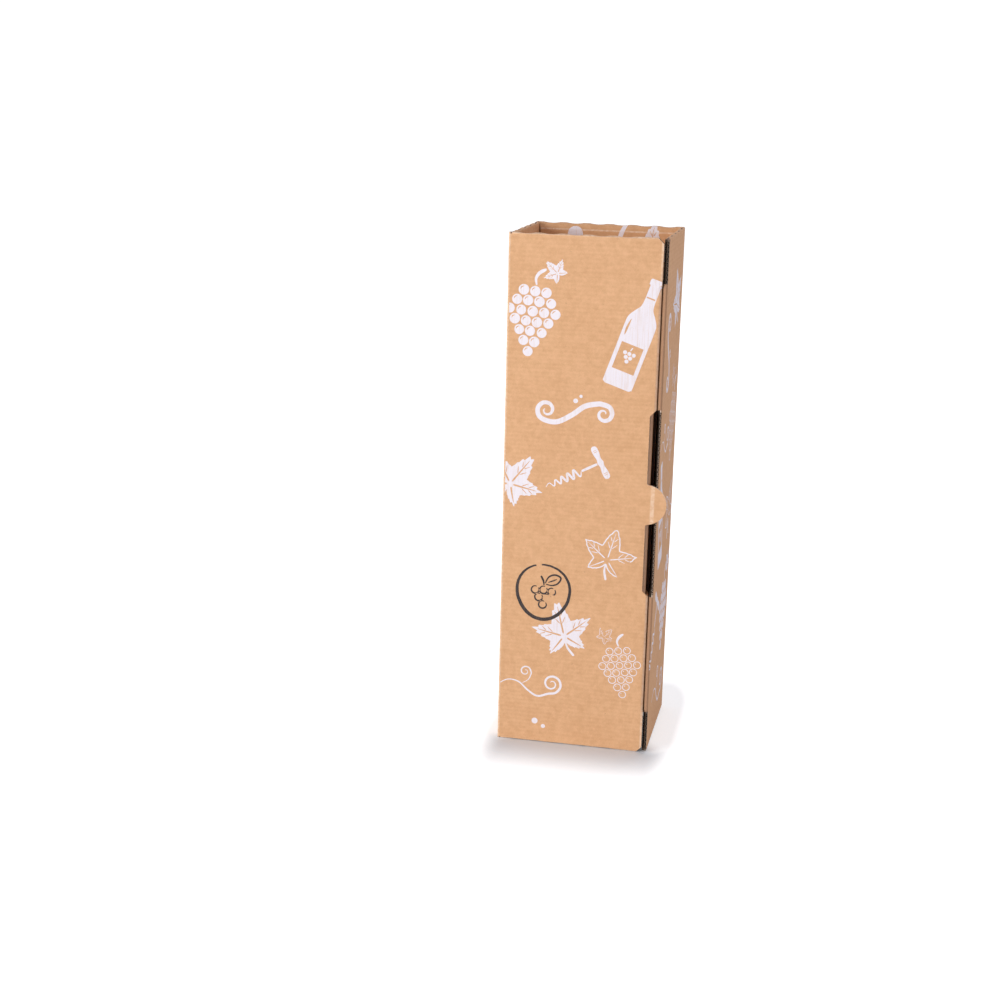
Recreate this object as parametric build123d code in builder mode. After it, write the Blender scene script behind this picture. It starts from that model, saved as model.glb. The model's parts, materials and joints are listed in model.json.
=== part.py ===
"""Shipping box for one bottle: a folded corrugated carton, its hinged lid and the folded insert.

The box stands on its end, as it is stored and shown. +Z is up, the lid faces -Y, and the lid
hinges on the front left edge. The origin is under the middle of the whole box, thumb tab
included, on the surface that it stands on. All sizes are in millimetres.

The top and bottom of the carton and of the lid are alike, so each is made as an upper half and
mirrored.
"""

import os
from math import floor, radians, sqrt, tan

from build123d import *

# The box as a whole
height = 410.0
width = 122.0
depth = 108.0
overrun = 20.0
clearance = 0.3

# The corrugated board and its folds
board = 1.6
ply_gap = 0.4
liner = 0.25
fluting = 0.25
flute_pitch = 3.4
flute_width = 2.2
flute_angle = 46.0
flute_depth = 4.0
fold_radius = 2.2
crease_radius = 0.5
rim_radius = 1.75

# The recessed ends: flaps folded in over the rims, and the end panel between them
recess = 32.0
slot_length = 34.4
back_rim_width = 3.2
back_band_drop = 5.0
back_band_slant = 27.0
back_band_radius = 3.0
flap_side_gap = 1.0
dust_flap_length = 30.0
dust_flap_front_trim = 9.0
dust_flap_back_trim = 12.0

# The rims are creased over short cuts, which leaves them wavy
wave_pitch = 19.0
wave_length = 14.0
wave_depth = 0.9
wave_end_margin = 9.0

# The right wall rolls over at its front edge, apart from the thumb window
crest_drop = 1.5
roll_join = 10.0
roll_back_gap = 1.0
window_length = 149.4
window_inner_drop = 12.0
window_inner_slope = 8.0

# The lid
lid_flap_length = 30.0
lid_flap_gap = 0.8
lid_corner_cut = 4.6
tuck_join = 12.0
tuck_length = 22.0
tuck_end_gap = 1.6
tuck_corner_cut = 10.0
tuck_band = 11.0
cut_back = 4.8
cut_back_rise = 4.9
tab_radius = 15.8
tab_root_radius = 1.6
tab_join = 8.0

# The insert
insert_headroom = 6.8
insert_left_depth = 58.0
insert_notch_width = 36.0
insert_rack = 6.0
insert_right_gap = 0.8
insert_left_gap = 4.0
insert_back_gap = 6.5
insert_glue_flap = 24.0
spring_flap_gap = 9.0
spring_flap_length = 62.0
wing_length = 25.0
wing_top_drop = 23.0
wing_bottom_rise = 45.0
wing_join = 8.0
wing_corner_cut = 8.0

# Places that follow from the sizes above
lap = 2 * board + ply_gap
flute_hollow = board - 2 * liner - fluting
tab_reach = tab_radius - cut_back - clearance - lap
half_height = height / 2
left_x = -(width + tab_reach) / 2
right_x = left_x + width
front_y = -depth / 2
back_y = depth / 2
inner_left_x = left_x + lap
inner_right_x = right_x - lap
back_lap = back_rim_width + back_band_drop * tan(radians(back_band_slant))
end_z = height - recess
side_end_z = end_z - board - ply_gap
slot_z = height - slot_length
crest_y = front_y + crest_drop
raw_edge_y = front_y + board + clearance
hinge_x = left_x + board / 2
hinge_y = front_y + board / 2
lid_right_x = inner_right_x - clearance
cut_back_x = lid_right_x - cut_back
window_top_z = half_height + window_length / 2
tuck_top_z = slot_z - tuck_end_gap
hinge_to_tuck = lid_right_x - hinge_x
tuck_inset = hinge_to_tuck - sqrt(hinge_to_tuck ** 2 - tuck_length ** 2)
insert_foot_z = recess + 2 * board + ply_gap
insert_height = height - 2 * insert_foot_z - insert_headroom


def folded_section(points: list, radii: list, hand: int) -> Sketch:
    """Section through folded board: the printed face follows the points.

    The board lies to the left of the points' direction with a hand of 1, to the right with -1.
    """
    outside = [Vector(*point) for point in points]
    headings = [(end - start).normalized() for start, end in zip(outside, outside[1:])]
    normals = [Vector(-heading.Y, heading.X) * hand * board for heading in headings]
    inside = [outside[0] + normals[0]]
    inside_radii = []
    for corner, before, after, radius in zip(outside[1:], normals, normals[1:], radii):
        inside.append(corner + (before + after) / (1 + before.dot(after) / board ** 2))
        towards_board = before.cross(after).Z * hand > 0
        inside_radii.append(radius - board if towards_board else radius + board)
    inside.append(outside[-1] + normals[-1])
    with BuildSketch() as section:
        with BuildLine():
            FilletPolyline(*outside, radius=radii)
            FilletPolyline(*inside, radius=inside_radii)
            Line(outside[0], inside[0])
            Line(outside[-1], inside[-1])
        make_face()
    return section.sketch_local


def block(low: tuple, high: tuple) -> Part:
    """Plain block between its lowest and its highest corner, used for trimming."""
    with BuildPart() as trimmed:
        with Locations(low):
            Box(*(Vector(high) - Vector(low)), align=(Align.MIN, Align.MIN, Align.MIN))
    return trimmed.part


def spaced(start: float, end: float) -> list:
    """Evenly spaced places of the waves along a rim, centred between its ends."""
    span = end - start - 2 * wave_end_margin
    steps = floor(span / wave_pitch)
    first = (start + end - steps * wave_pitch) / 2
    return [first + step * wave_pitch for step in range(steps + 1)]


def wave_cutters(places: list, rotation: tuple, rim_width: float) -> Part:
    """Shallow round cutters across a rim, one for each hollow of its wave."""
    radius = (wave_length ** 2 / 4 + wave_depth ** 2) / (2 * wave_depth)
    with BuildPart() as cutters:
        with Locations(*[(x, y, height - wave_depth + radius) for x, y in places]):
            Cylinder(radius, 2 * rim_width, rotation=rotation)
    return cutters.part


def back_wrap() -> Part:
    """Upper half of the back panel, its broad rim, the flap inside it and the end panel."""
    points = [
        (back_y, half_height),
        (back_y, height),
        (back_y - back_rim_width, height),
        (back_y - back_lap, height - back_band_drop),
        (back_y - back_lap, end_z),
        (raw_edge_y, end_z),
    ]
    radii = [rim_radius, rim_radius, back_band_radius, crease_radius]
    flap_edge = lap + flap_side_gap
    with BuildPart() as wrap:
        with BuildSketch(Plane.YZ.offset(left_x + fold_radius)):
            add(folded_section(points, radii, 1))
        extrude(amount=width - 2 * fold_radius)
        for outer_x, inward in ((left_x, 1), (right_x, -1)):
            with BuildSketch(Plane.XZ.offset(board - back_y)):
                with BuildLine():
                    Polyline(
                        (outer_x, height + overrun),
                        (outer_x + inward * fold_radius, height + overrun),
                        (outer_x + inward * fold_radius, height),
                        (outer_x + inward * flap_edge, height - back_band_drop),
                        (outer_x + inward * flap_edge, half_height),
                        (outer_x, half_height),
                        close=True,
                    )
                make_face()
            extrude(amount=depth, mode=Mode.SUBTRACT)
    return wrap.part


def side_wrap(outer_x: float, inward: int, wall_front_y: float) -> Part:
    """Upper half of a side wall, its rim, the flap inside it and the dust flap."""
    points = [
        (outer_x, half_height),
        (outer_x, height),
        (outer_x + inward * lap, height),
        (outer_x + inward * lap, side_end_z),
        (outer_x + inward * (lap + dust_flap_length), side_end_z),
    ]
    wall_back_y = back_y - fold_radius
    low_x, high_x = sorted((
        outer_x + inward * (board + ply_gap / 2),
        outer_x + inward * (lap + dust_flap_length + overrun),
    ))
    flap_back_y = back_y - back_lap - flap_side_gap
    dust_back_y = back_y - dust_flap_back_trim
    dust_front_y = front_y + dust_flap_front_trim
    dust_top_z = slot_z + clearance
    with BuildPart() as wrap:
        with BuildSketch(Plane.XZ.offset(-wall_back_y)):
            add(folded_section(points, [rim_radius, rim_radius, crease_radius], -inward))
        extrude(amount=wall_back_y - wall_front_y)
        for low_y, high_y, top_z in (
            (flap_back_y, back_y, height + overrun),
            (front_y, raw_edge_y, height + overrun),
            (front_y, dust_front_y, dust_top_z),
            (dust_back_y, back_y, dust_top_z),
        ):
            add(block((low_x, low_y, half_height), (high_x, high_y, top_z)), mode=Mode.SUBTRACT)
    return wrap.part


def back_corner(outer_x: float, inward: int) -> Part:
    """Upper half of the vertical fold between the back panel and a side wall."""
    centre = (outer_x + inward * fold_radius, back_y - fold_radius)
    wall = fold_radius - board / 2
    with BuildPart() as corner:
        with BuildSketch(Plane(origin=centre + (0,), x_dir=(-inward, 0, 0), z_dir=(0, inward, 0))):
            with Locations((wall, (half_height + height) / 2)):
                Rectangle(board, height - half_height)
        revolve(axis=Axis(centre + (0,), (0, 0, 1)), revolution_arc=-inward * 90)
        top_edges = corner.edges().group_by(Axis.Z)[-1].filter_by(GeomType.CIRCLE)
        fillet(top_edges.sort_by(SortBy.RADIUS)[-1], radius=board - ply_gap)
    return corner.part


def roll_over() -> Part:
    """Upper half of the right wall's front edge rolled inwards, and of the inner wall it makes."""
    points = [
        (right_x, crest_y + roll_join),
        (right_x, crest_y),
        (inner_right_x, crest_y),
        (inner_right_x, back_y - board - roll_back_gap),
    ]
    inner_top_z = side_end_z - board - clearance
    inner_front_y = front_y + dust_flap_front_trim - clearance
    between_walls_x = right_x - board - ply_gap / 2
    with BuildPart() as roll:
        with BuildSketch(Plane.XY.offset(half_height)):
            add(folded_section(points, [rim_radius, rim_radius], -1))
        extrude(amount=slot_z - half_height)
        add(block((0, inner_front_y, inner_top_z), (between_walls_x, back_y, height)), mode=Mode.SUBTRACT)
    return roll.part


def flute_hollows(outer_x: float, inward: int, edge_y: float, low_z: float, high_z: float) -> Part:
    """Cutter for the hollows beside the fluted paper, where they open at a wall's cut front edge.

    The hollows under one liner lie half a pitch above those under the other.
    """
    shift_x = inward * (board / 2 - liner - flute_hollow / 2)
    middle_x = outer_x + inward * board / 2
    middle_z = (low_z + high_z) / 2
    count = floor((high_z - low_z - flute_pitch / 2) / flute_pitch)
    with BuildPart() as hollows:
        with BuildSketch(Plane.XZ.offset(-edge_y)):
            for side in (1, -1):
                with Locations((middle_x - side * shift_x, middle_z + side * flute_pitch / 4)):
                    with GridLocations(flute_pitch, flute_pitch, 1, count):
                        Trapezoid(flute_width, flute_hollow, flute_angle, rotation=-side * inward * 90)
        extrude(amount=-flute_depth)
    return hollows.part


def thumb_window() -> Part:
    """Cutter for the upper half of the window: the outer wall's edge, and the inner wall behind it."""
    with BuildPart() as window:
        add(block((0, front_y - overrun, half_height), (right_x + overrun, raw_edge_y, window_top_z)))
        with BuildSketch(Plane.YZ.offset(right_x - board - ply_gap / 2)):
            with BuildLine():
                Polyline(
                    (front_y, half_height),
                    (front_y + window_inner_drop, half_height),
                    (front_y + window_inner_drop, window_top_z - window_inner_slope),
                    (raw_edge_y, window_top_z),
                    (front_y, window_top_z),
                    close=True,
                )
            make_face()
        extrude(amount=-lap)
    return window.part


def hinge_relief() -> Part:
    """Cutter that leaves room for the lid's rounded hinge edge at the left wall's front edge."""
    with BuildPart() as relief:
        with BuildSketch():
            with Locations((hinge_x, hinge_y)):
                Circle(sqrt((board / 2) ** 2 + (board / 2 + clearance) ** 2))
        extrude(amount=height)
        add(block((hinge_x, front_y - overrun, 0), (hinge_x + overrun, raw_edge_y, height)))
    return relief.part


wall_split_x = right_x - board - ply_gap / 2
right_flap_x = right_x - board - ply_gap
rim_end_xs = spaced(left_x, right_x)
rim_side_ys = spaced(front_y, back_y)

with BuildPart() as carton:
    add(side_wrap(right_x, -1, crest_y))
    add(
        block(
            (wall_split_x, front_y - overrun, half_height),
            (right_x + overrun, crest_y + roll_join, slot_z),
        ),
        mode=Mode.SUBTRACT,
    )
    add(flute_hollows(right_x, -1, crest_y, slot_z, height - rim_radius), mode=Mode.SUBTRACT)
    add(flute_hollows(right_flap_x, -1, raw_edge_y, slot_z, height - rim_radius), mode=Mode.SUBTRACT)
    add(roll_over())
    add(thumb_window(), mode=Mode.SUBTRACT)
    add(flute_hollows(right_x, -1, raw_edge_y, half_height, window_top_z), mode=Mode.SUBTRACT)
    add(back_corner(right_x, -1))
    add(back_wrap())
    add(back_corner(left_x, 1))
    add(side_wrap(left_x, 1, hinge_y))
    add(hinge_relief(), mode=Mode.SUBTRACT)
    add(wave_cutters([(x, back_y) for x in rim_end_xs], (90, 0, 0), 2 * back_lap), mode=Mode.SUBTRACT)
    for wall_x in (left_x, right_x):
        add(wave_cutters([(wall_x, y) for y in rim_side_ys], (0, 90, 0), 2 * lap), mode=Mode.SUBTRACT)
    mirror(about=Plane.XY.offset(half_height))
carton.part.label = "carton"


def lid_panel() -> Part:
    """Upper half of the lid, its rim and the end flap folded in behind it."""
    points = [
        (front_y, half_height),
        (front_y, height),
        (front_y + lap, height),
        (front_y + lap, height - lid_flap_length),
    ]
    flap_start_x = inner_left_x + lid_flap_gap
    with BuildPart() as panel:
        with BuildSketch(Plane.YZ.offset(left_x)):
            add(folded_section(points, [rim_radius, rim_radius], -1))
        extrude(amount=lid_right_x - left_x)
        add(block((left_x, front_y + board, 0), (flap_start_x, 0, height)), mode=Mode.SUBTRACT)
        with BuildSketch(Plane.XY.offset(half_height)):
            with Locations((left_x, front_y)):
                Rectangle(hinge_x - left_x, board, align=(Align.MIN, Align.MIN))
            with Locations((hinge_x, hinge_y)):
                Circle(board / 2, mode=Mode.SUBTRACT)
        extrude(amount=height, mode=Mode.SUBTRACT)
        with BuildSketch(Plane.XZ.offset(-front_y - lap - overrun)):
            with BuildLine():
                Polyline(
                    (lid_right_x - lid_corner_cut, height),
                    (lid_right_x, height - lid_corner_cut),
                    (lid_right_x + overrun, height),
                    close=True,
                )
            make_face()
        extrude(amount=lap + 2 * overrun, mode=Mode.SUBTRACT)
        add(wave_cutters([(x, front_y) for x in rim_end_xs[:-1]], (90, 0, 0), 2 * lap), mode=Mode.SUBTRACT)
    return panel.part


def tuck_flap() -> Part:
    """Upper half of the fold at the lid's right edge and of the flap that tucks inside the wall."""
    points = [
        (lid_right_x - tuck_join, front_y),
        (lid_right_x, front_y),
        (lid_right_x - tuck_inset, front_y + tuck_length),
    ]
    with BuildPart() as tuck:
        with BuildSketch(Plane.XY.offset(half_height)):
            add(folded_section(points, [fold_radius], 1))
        extrude(amount=tuck_top_z - half_height)
        with BuildSketch(Plane.YZ.offset(lid_right_x - tuck_join)):
            with BuildLine():
                Polyline(
                    (front_y + tuck_length - tuck_corner_cut, tuck_top_z),
                    (front_y + tuck_length + tuck_corner_cut, tuck_top_z),
                    (front_y + tuck_length + tuck_corner_cut, tuck_top_z - 2 * tuck_corner_cut),
                    close=True,
                )
            make_face()
        extrude(amount=tuck_join + overrun, mode=Mode.SUBTRACT)
    return tuck.part


def lid_cut_back() -> Part:
    """Cutter for the lid's edge in the thumb window, down to the band left of the tuck flap."""
    with BuildPart() as cutter:
        with BuildSketch(Plane.XZ.offset(overrun - front_y)):
            with BuildLine():
                Polyline(
                    (cut_back_x, half_height),
                    (cut_back_x, window_top_z - cut_back_rise),
                    (lid_right_x, window_top_z),
                    (lid_right_x + overrun, window_top_z),
                    (lid_right_x + overrun, half_height),
                    close=True,
                )
            make_face()
        extrude(amount=-(overrun + tuck_length - tuck_band))
    return cutter.part


def lid_edge_hollows() -> Part:
    """Cutter for the hollows of the fluting along the cut-back part of the lid's edge."""
    low_z = half_height + tab_radius + tab_join
    high_z = window_top_z - cut_back_rise
    middle_z = (low_z + high_z) / 2
    shift_y = board / 2 - liner - flute_hollow / 2
    count = floor((high_z - low_z - flute_pitch / 2) / flute_pitch)
    with BuildPart() as hollows:
        with BuildSketch(Plane.YZ.offset(cut_back_x)):
            for side in (1, -1):
                with Locations((front_y + board / 2 - side * shift_y, middle_z + side * flute_pitch / 4)):
                    with GridLocations(flute_pitch, flute_pitch, 1, count):
                        Trapezoid(flute_width, flute_hollow, flute_angle, rotation=-side * 90)
        extrude(amount=-flute_depth)
    return hollows.part


def thumb_tab() -> Part:
    """Half-round tab that stands out of the lid's edge over the right wall."""
    with BuildPart() as tab:
        with BuildSketch(Plane.XZ.offset(-front_y)) as outline:
            with Locations((cut_back_x, half_height)):
                Rectangle(tab_join, 2 * tab_radius + 2 * tab_join, align=(Align.MAX, Align.CENTER))
                Circle(tab_radius)
            with Locations((cut_back_x - tab_join, half_height)):
                Rectangle(
                    2 * tab_radius,
                    4 * tab_radius,
                    align=(Align.MAX, Align.CENTER),
                    mode=Mode.SUBTRACT,
                )
            roots = [
                corner
                for corner in outline.vertices()
                if abs(corner.X - cut_back_x) < clearance
                and abs(corner.Y - half_height) < tab_radius + clearance
            ]
            fillet(roots, radius=tab_root_radius)
        extrude(amount=-board)
    return tab.part


with BuildPart() as lid:
    add(lid_panel())
    add(
        block(
            (lid_right_x - fold_radius, front_y - overrun, half_height),
            (right_x, front_y + overrun, tuck_top_z),
        ),
        mode=Mode.SUBTRACT,
    )
    add(tuck_flap())
    add(lid_cut_back(), mode=Mode.SUBTRACT)
    add(lid_edge_hollows(), mode=Mode.SUBTRACT)
    mirror(about=Plane.XY.offset(half_height))
    add(thumb_tab())
lid.part.label = "lid"


def insert_points() -> dict:
    """Corners of the insert's section on its outer face: a tube racked to its left."""
    right = Vector(1, 0)
    back = Vector(-tan(radians(insert_rack)), 1)
    depth_inside = back_y - board - insert_back_gap - raw_edge_y
    front_right = Vector(lid_right_x - board - insert_right_gap, raw_edge_y)
    left_back = Vector(left_x + board + insert_left_gap, raw_edge_y + insert_left_depth)
    front_left = left_back - back * insert_left_depth
    notch = left_back + right * insert_notch_width
    back_right = front_right + back * depth_inside
    return {
        "front_right": front_right,
        "front_left": front_left,
        "left_back": left_back,
        "notch": notch,
        "back_left": notch + back * (depth_inside - insert_left_depth - board),
        "spring_back": back_right - right * spring_flap_gap - back * board,
        "spring_front": back_right - right * spring_flap_gap - back * (board + spring_flap_length),
        "right_middle": (front_right + back_right) / 2,
        "back_right": back_right,
        "glue_end": back_right - right * insert_glue_flap,
    }


def insert_tube(corners: dict) -> Part:
    """The folded tube, from the spring flap's free edge round to the glued overlap at the back."""
    loop = [
        "spring_front", "spring_back", "back_left", "notch", "left_back",
        "front_left", "front_right", "right_middle",
    ]
    overlap = ["right_middle", "back_right", "glue_end"]
    loop_radii = [fold_radius, fold_radius, crease_radius] + [fold_radius] * 3
    with BuildPart() as tube:
        with BuildSketch(Plane.XY.offset(insert_foot_z)):
            for names, radii in ((loop, loop_radii), (overlap, [fold_radius])):
                points = [(corners[name].X, corners[name].Y) for name in names]
                add(folded_section(points, radii, 1))
        extrude(amount=insert_height)
    return tube.part


def insert_wing(corners: dict) -> Part:
    """The wing that goes on from the left panel and bears on the carton's left wall."""
    crease = corners["left_back"]
    start = crease + (corners["front_left"] - crease).normalized() * wing_join
    tip = Vector(left_x + board + clearance, crease.Y + wing_length)
    points = [(point.X, point.Y) for point in (start, crease, tip)]
    low_z = insert_foot_z + wing_bottom_rise
    high_z = insert_foot_z + insert_height - wing_top_drop
    with BuildPart() as wing:
        with BuildSketch(Plane.XY.offset(low_z)):
            add(folded_section(points, [fold_radius], -1))
        extrude(amount=high_z - low_z)
        with BuildSketch(Plane.YZ.offset(tip.X - overrun)):
            for corner_z, upward in ((low_z, 1), (high_z, -1)):
                with BuildLine():
                    Polyline(
                        (tip.Y + board, corner_z),
                        (tip.Y - wing_corner_cut, corner_z),
                        (tip.Y + board, corner_z + upward * (wing_corner_cut + board)),
                        close=True,
                    )
                make_face()
        extrude(amount=2 * overrun, mode=Mode.SUBTRACT)
    return wing.part


with BuildPart() as insert:
    corners = insert_points()
    add(insert_tube(corners))
    wing_root = corners["left_back"]
    add(
        block(
            (
                wing_root.X + fold_radius,
                wing_root.Y - board - clearance,
                insert_foot_z + wing_bottom_rise,
            ),
            (
                wing_root.X + wing_length,
                wing_root.Y + clearance,
                insert_foot_z + insert_height - wing_top_drop,
            ),
        ),
        mode=Mode.SUBTRACT,
    )
    add(insert_wing(corners))
insert.part.label = "insert"


os.makedirs("parts", exist_ok=True)
for piece in (carton, lid, insert):
    export_step(piece.part, f"parts/{piece.part.label}.step")
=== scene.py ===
"""Looks of a tall corrugated carton for one bottle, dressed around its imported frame.

The carton stands on its end and its lid faces -Y. Every length is in metres, unless a name ends in
_mm: the printed motifs are drawn flat in millimetres and then laid on the panel that carries them.
"""

import json
import logging
import math
import random
from collections.abc import Callable
from dataclasses import dataclass, field
from enum import Enum
from functools import reduce

import bmesh
import bpy
from mathutils import Matrix, Vector
from mathutils.bvhtree import BVHTree


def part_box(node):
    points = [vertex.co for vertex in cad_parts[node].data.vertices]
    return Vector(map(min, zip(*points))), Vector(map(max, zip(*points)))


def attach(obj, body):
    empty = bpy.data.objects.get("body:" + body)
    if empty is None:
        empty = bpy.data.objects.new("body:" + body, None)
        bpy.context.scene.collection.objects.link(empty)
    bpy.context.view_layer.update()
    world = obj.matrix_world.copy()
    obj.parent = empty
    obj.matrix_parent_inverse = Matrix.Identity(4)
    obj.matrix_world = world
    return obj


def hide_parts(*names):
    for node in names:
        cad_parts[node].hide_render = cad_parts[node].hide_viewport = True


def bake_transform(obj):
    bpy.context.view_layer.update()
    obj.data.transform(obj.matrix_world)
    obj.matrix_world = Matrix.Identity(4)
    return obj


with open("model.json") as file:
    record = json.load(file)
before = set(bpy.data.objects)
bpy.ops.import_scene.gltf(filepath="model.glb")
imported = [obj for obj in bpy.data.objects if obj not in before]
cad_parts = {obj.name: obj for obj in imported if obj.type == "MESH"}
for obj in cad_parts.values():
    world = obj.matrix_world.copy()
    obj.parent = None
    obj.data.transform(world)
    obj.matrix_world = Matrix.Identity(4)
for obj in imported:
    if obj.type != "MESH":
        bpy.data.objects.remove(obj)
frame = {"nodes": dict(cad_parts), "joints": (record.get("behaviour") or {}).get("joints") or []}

LOG = logging.getLogger("bottle_carton")
MM = 0.001
FULL_TURN = 2 * math.pi
UP = Vector((0, 0, 1))

Colour = tuple[float, float, float, float]
Point = tuple[float, float]
Loop = list[Point]


class Board:
    """Sizes of the corrugated board that the whole box is folded from."""

    THICKNESS = 1.6 * MM
    FLUTE_PITCH = 3.4 * MM
    RIM_RADIUS = 1.75 * MM
    LAP = 3.6 * MM
    CLEARANCE = 0.3 * MM
    SLIT_PITCH = 21.6 * MM
    SLIT_SHARE = 0.55


@dataclass(frozen=True)
class BoxPlaces:
    """Places on the box that several pieces need, read from the frame."""

    left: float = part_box("carton")[0][0]
    right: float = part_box("carton")[1][0]
    front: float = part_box("lid")[0][1]
    back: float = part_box("carton")[1][1]
    top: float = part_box("carton")[1][2]
    crest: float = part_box("carton")[0][1]
    hinge: tuple[float, ...] = tuple(frame["joints"][0]["pos_m"])

    @property
    def lid_right(self) -> float:
        """Free edge of the lid, beside the rolled-over wall."""
        return self.right - Board.LAP - Board.CLEARANCE

    @property
    def middle(self) -> float:
        """Half of the box's height."""
        return self.top / 2


PLACES = BoxPlaces()


class Face(Enum):
    """Kinds of surface that a cut and folded board shows."""

    LINER = 0
    CUT_EDGE = 1
    HOLLOW = 2


class Wiring:
    """Short forms for placing and joining the nodes of one shader tree."""

    def __init__(self, tree: bpy.types.NodeTree) -> None:
        """Keeps the tree that the nodes go into."""
        self.tree = tree

    def add(self, kind: str, **settings: object) -> bpy.types.Node:
        """Adds a node.

        Args:
            kind: Blender's name of the node type.
            **settings: Properties to set on the node.

        Returns:
            The new node.
        """
        node = self.tree.nodes.new(kind)
        for name, value in settings.items():
            setattr(node, name, value)
        return node

    def feed(self, socket: bpy.types.NodeSocket, source: object) -> None:
        """Links a socket to another one, or sets its value.

        Args:
            socket: Input to fill.
            source: Output socket to link, or a plain value.
        """
        if isinstance(source, bpy.types.NodeSocket):
            self.tree.links.new(source, socket)
        else:
            socket.default_value = source

    def fill(self, node: bpy.types.Node, *sources: object) -> bpy.types.Node:
        """Fills a node's inputs in their own order.

        Args:
            node: Node to fill.
            *sources: A socket or a value for each input, from the first one on.

        Returns:
            The same node.
        """
        for socket, source in zip(node.inputs, sources):
            self.feed(socket, source)
        return node

    def math(self, operation: str, *sources: object, clamp: bool = False) -> bpy.types.NodeSocket:
        """Value of a Math node on one, two or three sources."""
        node = self.add("ShaderNodeMath", operation=operation, use_clamp=clamp)
        return self.fill(node, *sources).outputs["Value"]

    def times(self, *factors: object) -> bpy.types.NodeSocket:
        """Product of two or more values."""
        return reduce(lambda one, other: self.math("MULTIPLY", one, other), factors)

    def apart(self, one: object, other: object) -> bpy.types.NodeSocket:
        """Distance between two values."""
        return self.math("ABSOLUTE", self.math("SUBTRACT", one, other))

    def vector(self, operation: str, *sources: object, result: str = "Vector") -> bpy.types.NodeSocket:
        """Result of a Vector Math node on one or two sources."""
        node = self.add("ShaderNodeVectorMath", operation=operation)
        return self.fill(node, *sources).outputs[result]

    def coordinate(self, kind: str = "Object") -> bpy.types.NodeSocket:
        """Place on the piece, or another of its coordinates."""
        return self.add("ShaderNodeTexCoord").outputs[kind]

    def parts(self, place: object) -> tuple[bpy.types.NodeSocket, ...]:
        """X, Y and Z of a vector."""
        return tuple(self.fill(self.add("ShaderNodeSeparateXYZ"), place).outputs)

    def band(self, value: object, low: float, high: float, start: float = 0.0,
             end: float = 1.0) -> bpy.types.NodeSocket:
        """Value that runs smoothly from start to end while its source runs from low to high."""
        node = self.add("ShaderNodeMapRange", interpolation_type="SMOOTHSTEP", clamp=True)
        return self.fill(node, value, low, high, start, end).outputs["Result"]

    def noise(self, place: object, scale: float, detail: float = 2.0, distortion: float = 0.0,
              result: str = "Fac") -> bpy.types.NodeSocket:
        """Noise texture at a place.

        Args:
            place: Coordinates that it is read at.
            scale: Size of the pattern, in repeats for each metre.
            detail: Number of finer layers.
            distortion: How far the pattern is bent.
            result: Output that is wanted.

        Returns:
            The output socket.
        """
        node = self.add("ShaderNodeTexNoise")
        self.feed(node.inputs["Vector"], place)
        node.inputs["Scale"].default_value = scale
        node.inputs["Detail"].default_value = detail
        node.inputs["Distortion"].default_value = distortion
        return node.outputs[result]

    def _mix(self, kind: str, first_slot: int, result: int, *sources: object) -> bpy.types.NodeSocket:
        """Result of a Mix node, whose sockets differ with the kind of value.

        Args:
            kind: Blender's name of the data type.
            first_slot: Number of the first of the two value inputs.
            result: Number of the output.
            *sources: The share, the first value and the second one.

        Returns:
            The output socket.
        """
        node = self.add("ShaderNodeMix", data_type=kind)
        for slot, source in zip((0, first_slot, first_slot + 1), sources):
            self.feed(node.inputs[slot], source)
        return node.outputs[result]

    def pick(self, share: object, first: object, second: object) -> bpy.types.NodeSocket:
        """Value between two values: the first at a share of 0, the second at 1."""
        return self._mix("FLOAT", 2, 0, share, first, second)

    def blend(self, share: object, first: object, second: object) -> bpy.types.NodeSocket:
        """Colour between two colours: the first at a share of 0, the second at 1."""
        return self._mix("RGBA", 6, 2, share, first, second)

    def bump(self, height: object, distance: float, strength: float,
             normal: bpy.types.NodeSocket | None = None) -> bpy.types.NodeSocket:
        """Normal bent by a height.

        Args:
            height: Height of the surface.
            distance: Height that a value of 1 stands for.
            strength: Share of the bend that is kept.
            normal: Normal to start from, or none for the surface's own.

        Returns:
            The bent normal.
        """
        node = self.add("ShaderNodeBump")
        node.inputs["Distance"].default_value = distance
        node.inputs["Strength"].default_value = strength
        self.feed(node.inputs["Height"], height)
        if normal is not None:
            self.feed(node.inputs["Normal"], normal)
        return node.outputs["Normal"]


def new_group(name: str, inputs: dict[str, float],
              outputs: list[str]) -> tuple[Wiring, dict, bpy.types.Node]:
    """Makes an empty shader node group with value sockets.

    Args:
        name: The group's name.
        inputs: Default of each input.
        outputs: Names of the outputs.

    Returns:
        The group's wiring, its input sockets by name and its output node.
    """
    tree = bpy.data.node_groups.new(name, "ShaderNodeTree")
    for socket, default in inputs.items():
        made = tree.interface.new_socket(socket, in_out="INPUT", socket_type="NodeSocketFloat")
        made.default_value = default
    for socket in outputs:
        tree.interface.new_socket(socket, in_out="OUTPUT", socket_type="NodeSocketFloat")
    entry = tree.nodes.new("NodeGroupInput")
    leave = tree.nodes.new("NodeGroupOutput")
    return Wiring(tree), {name: entry.outputs[name] for name in inputs}, leave


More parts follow.
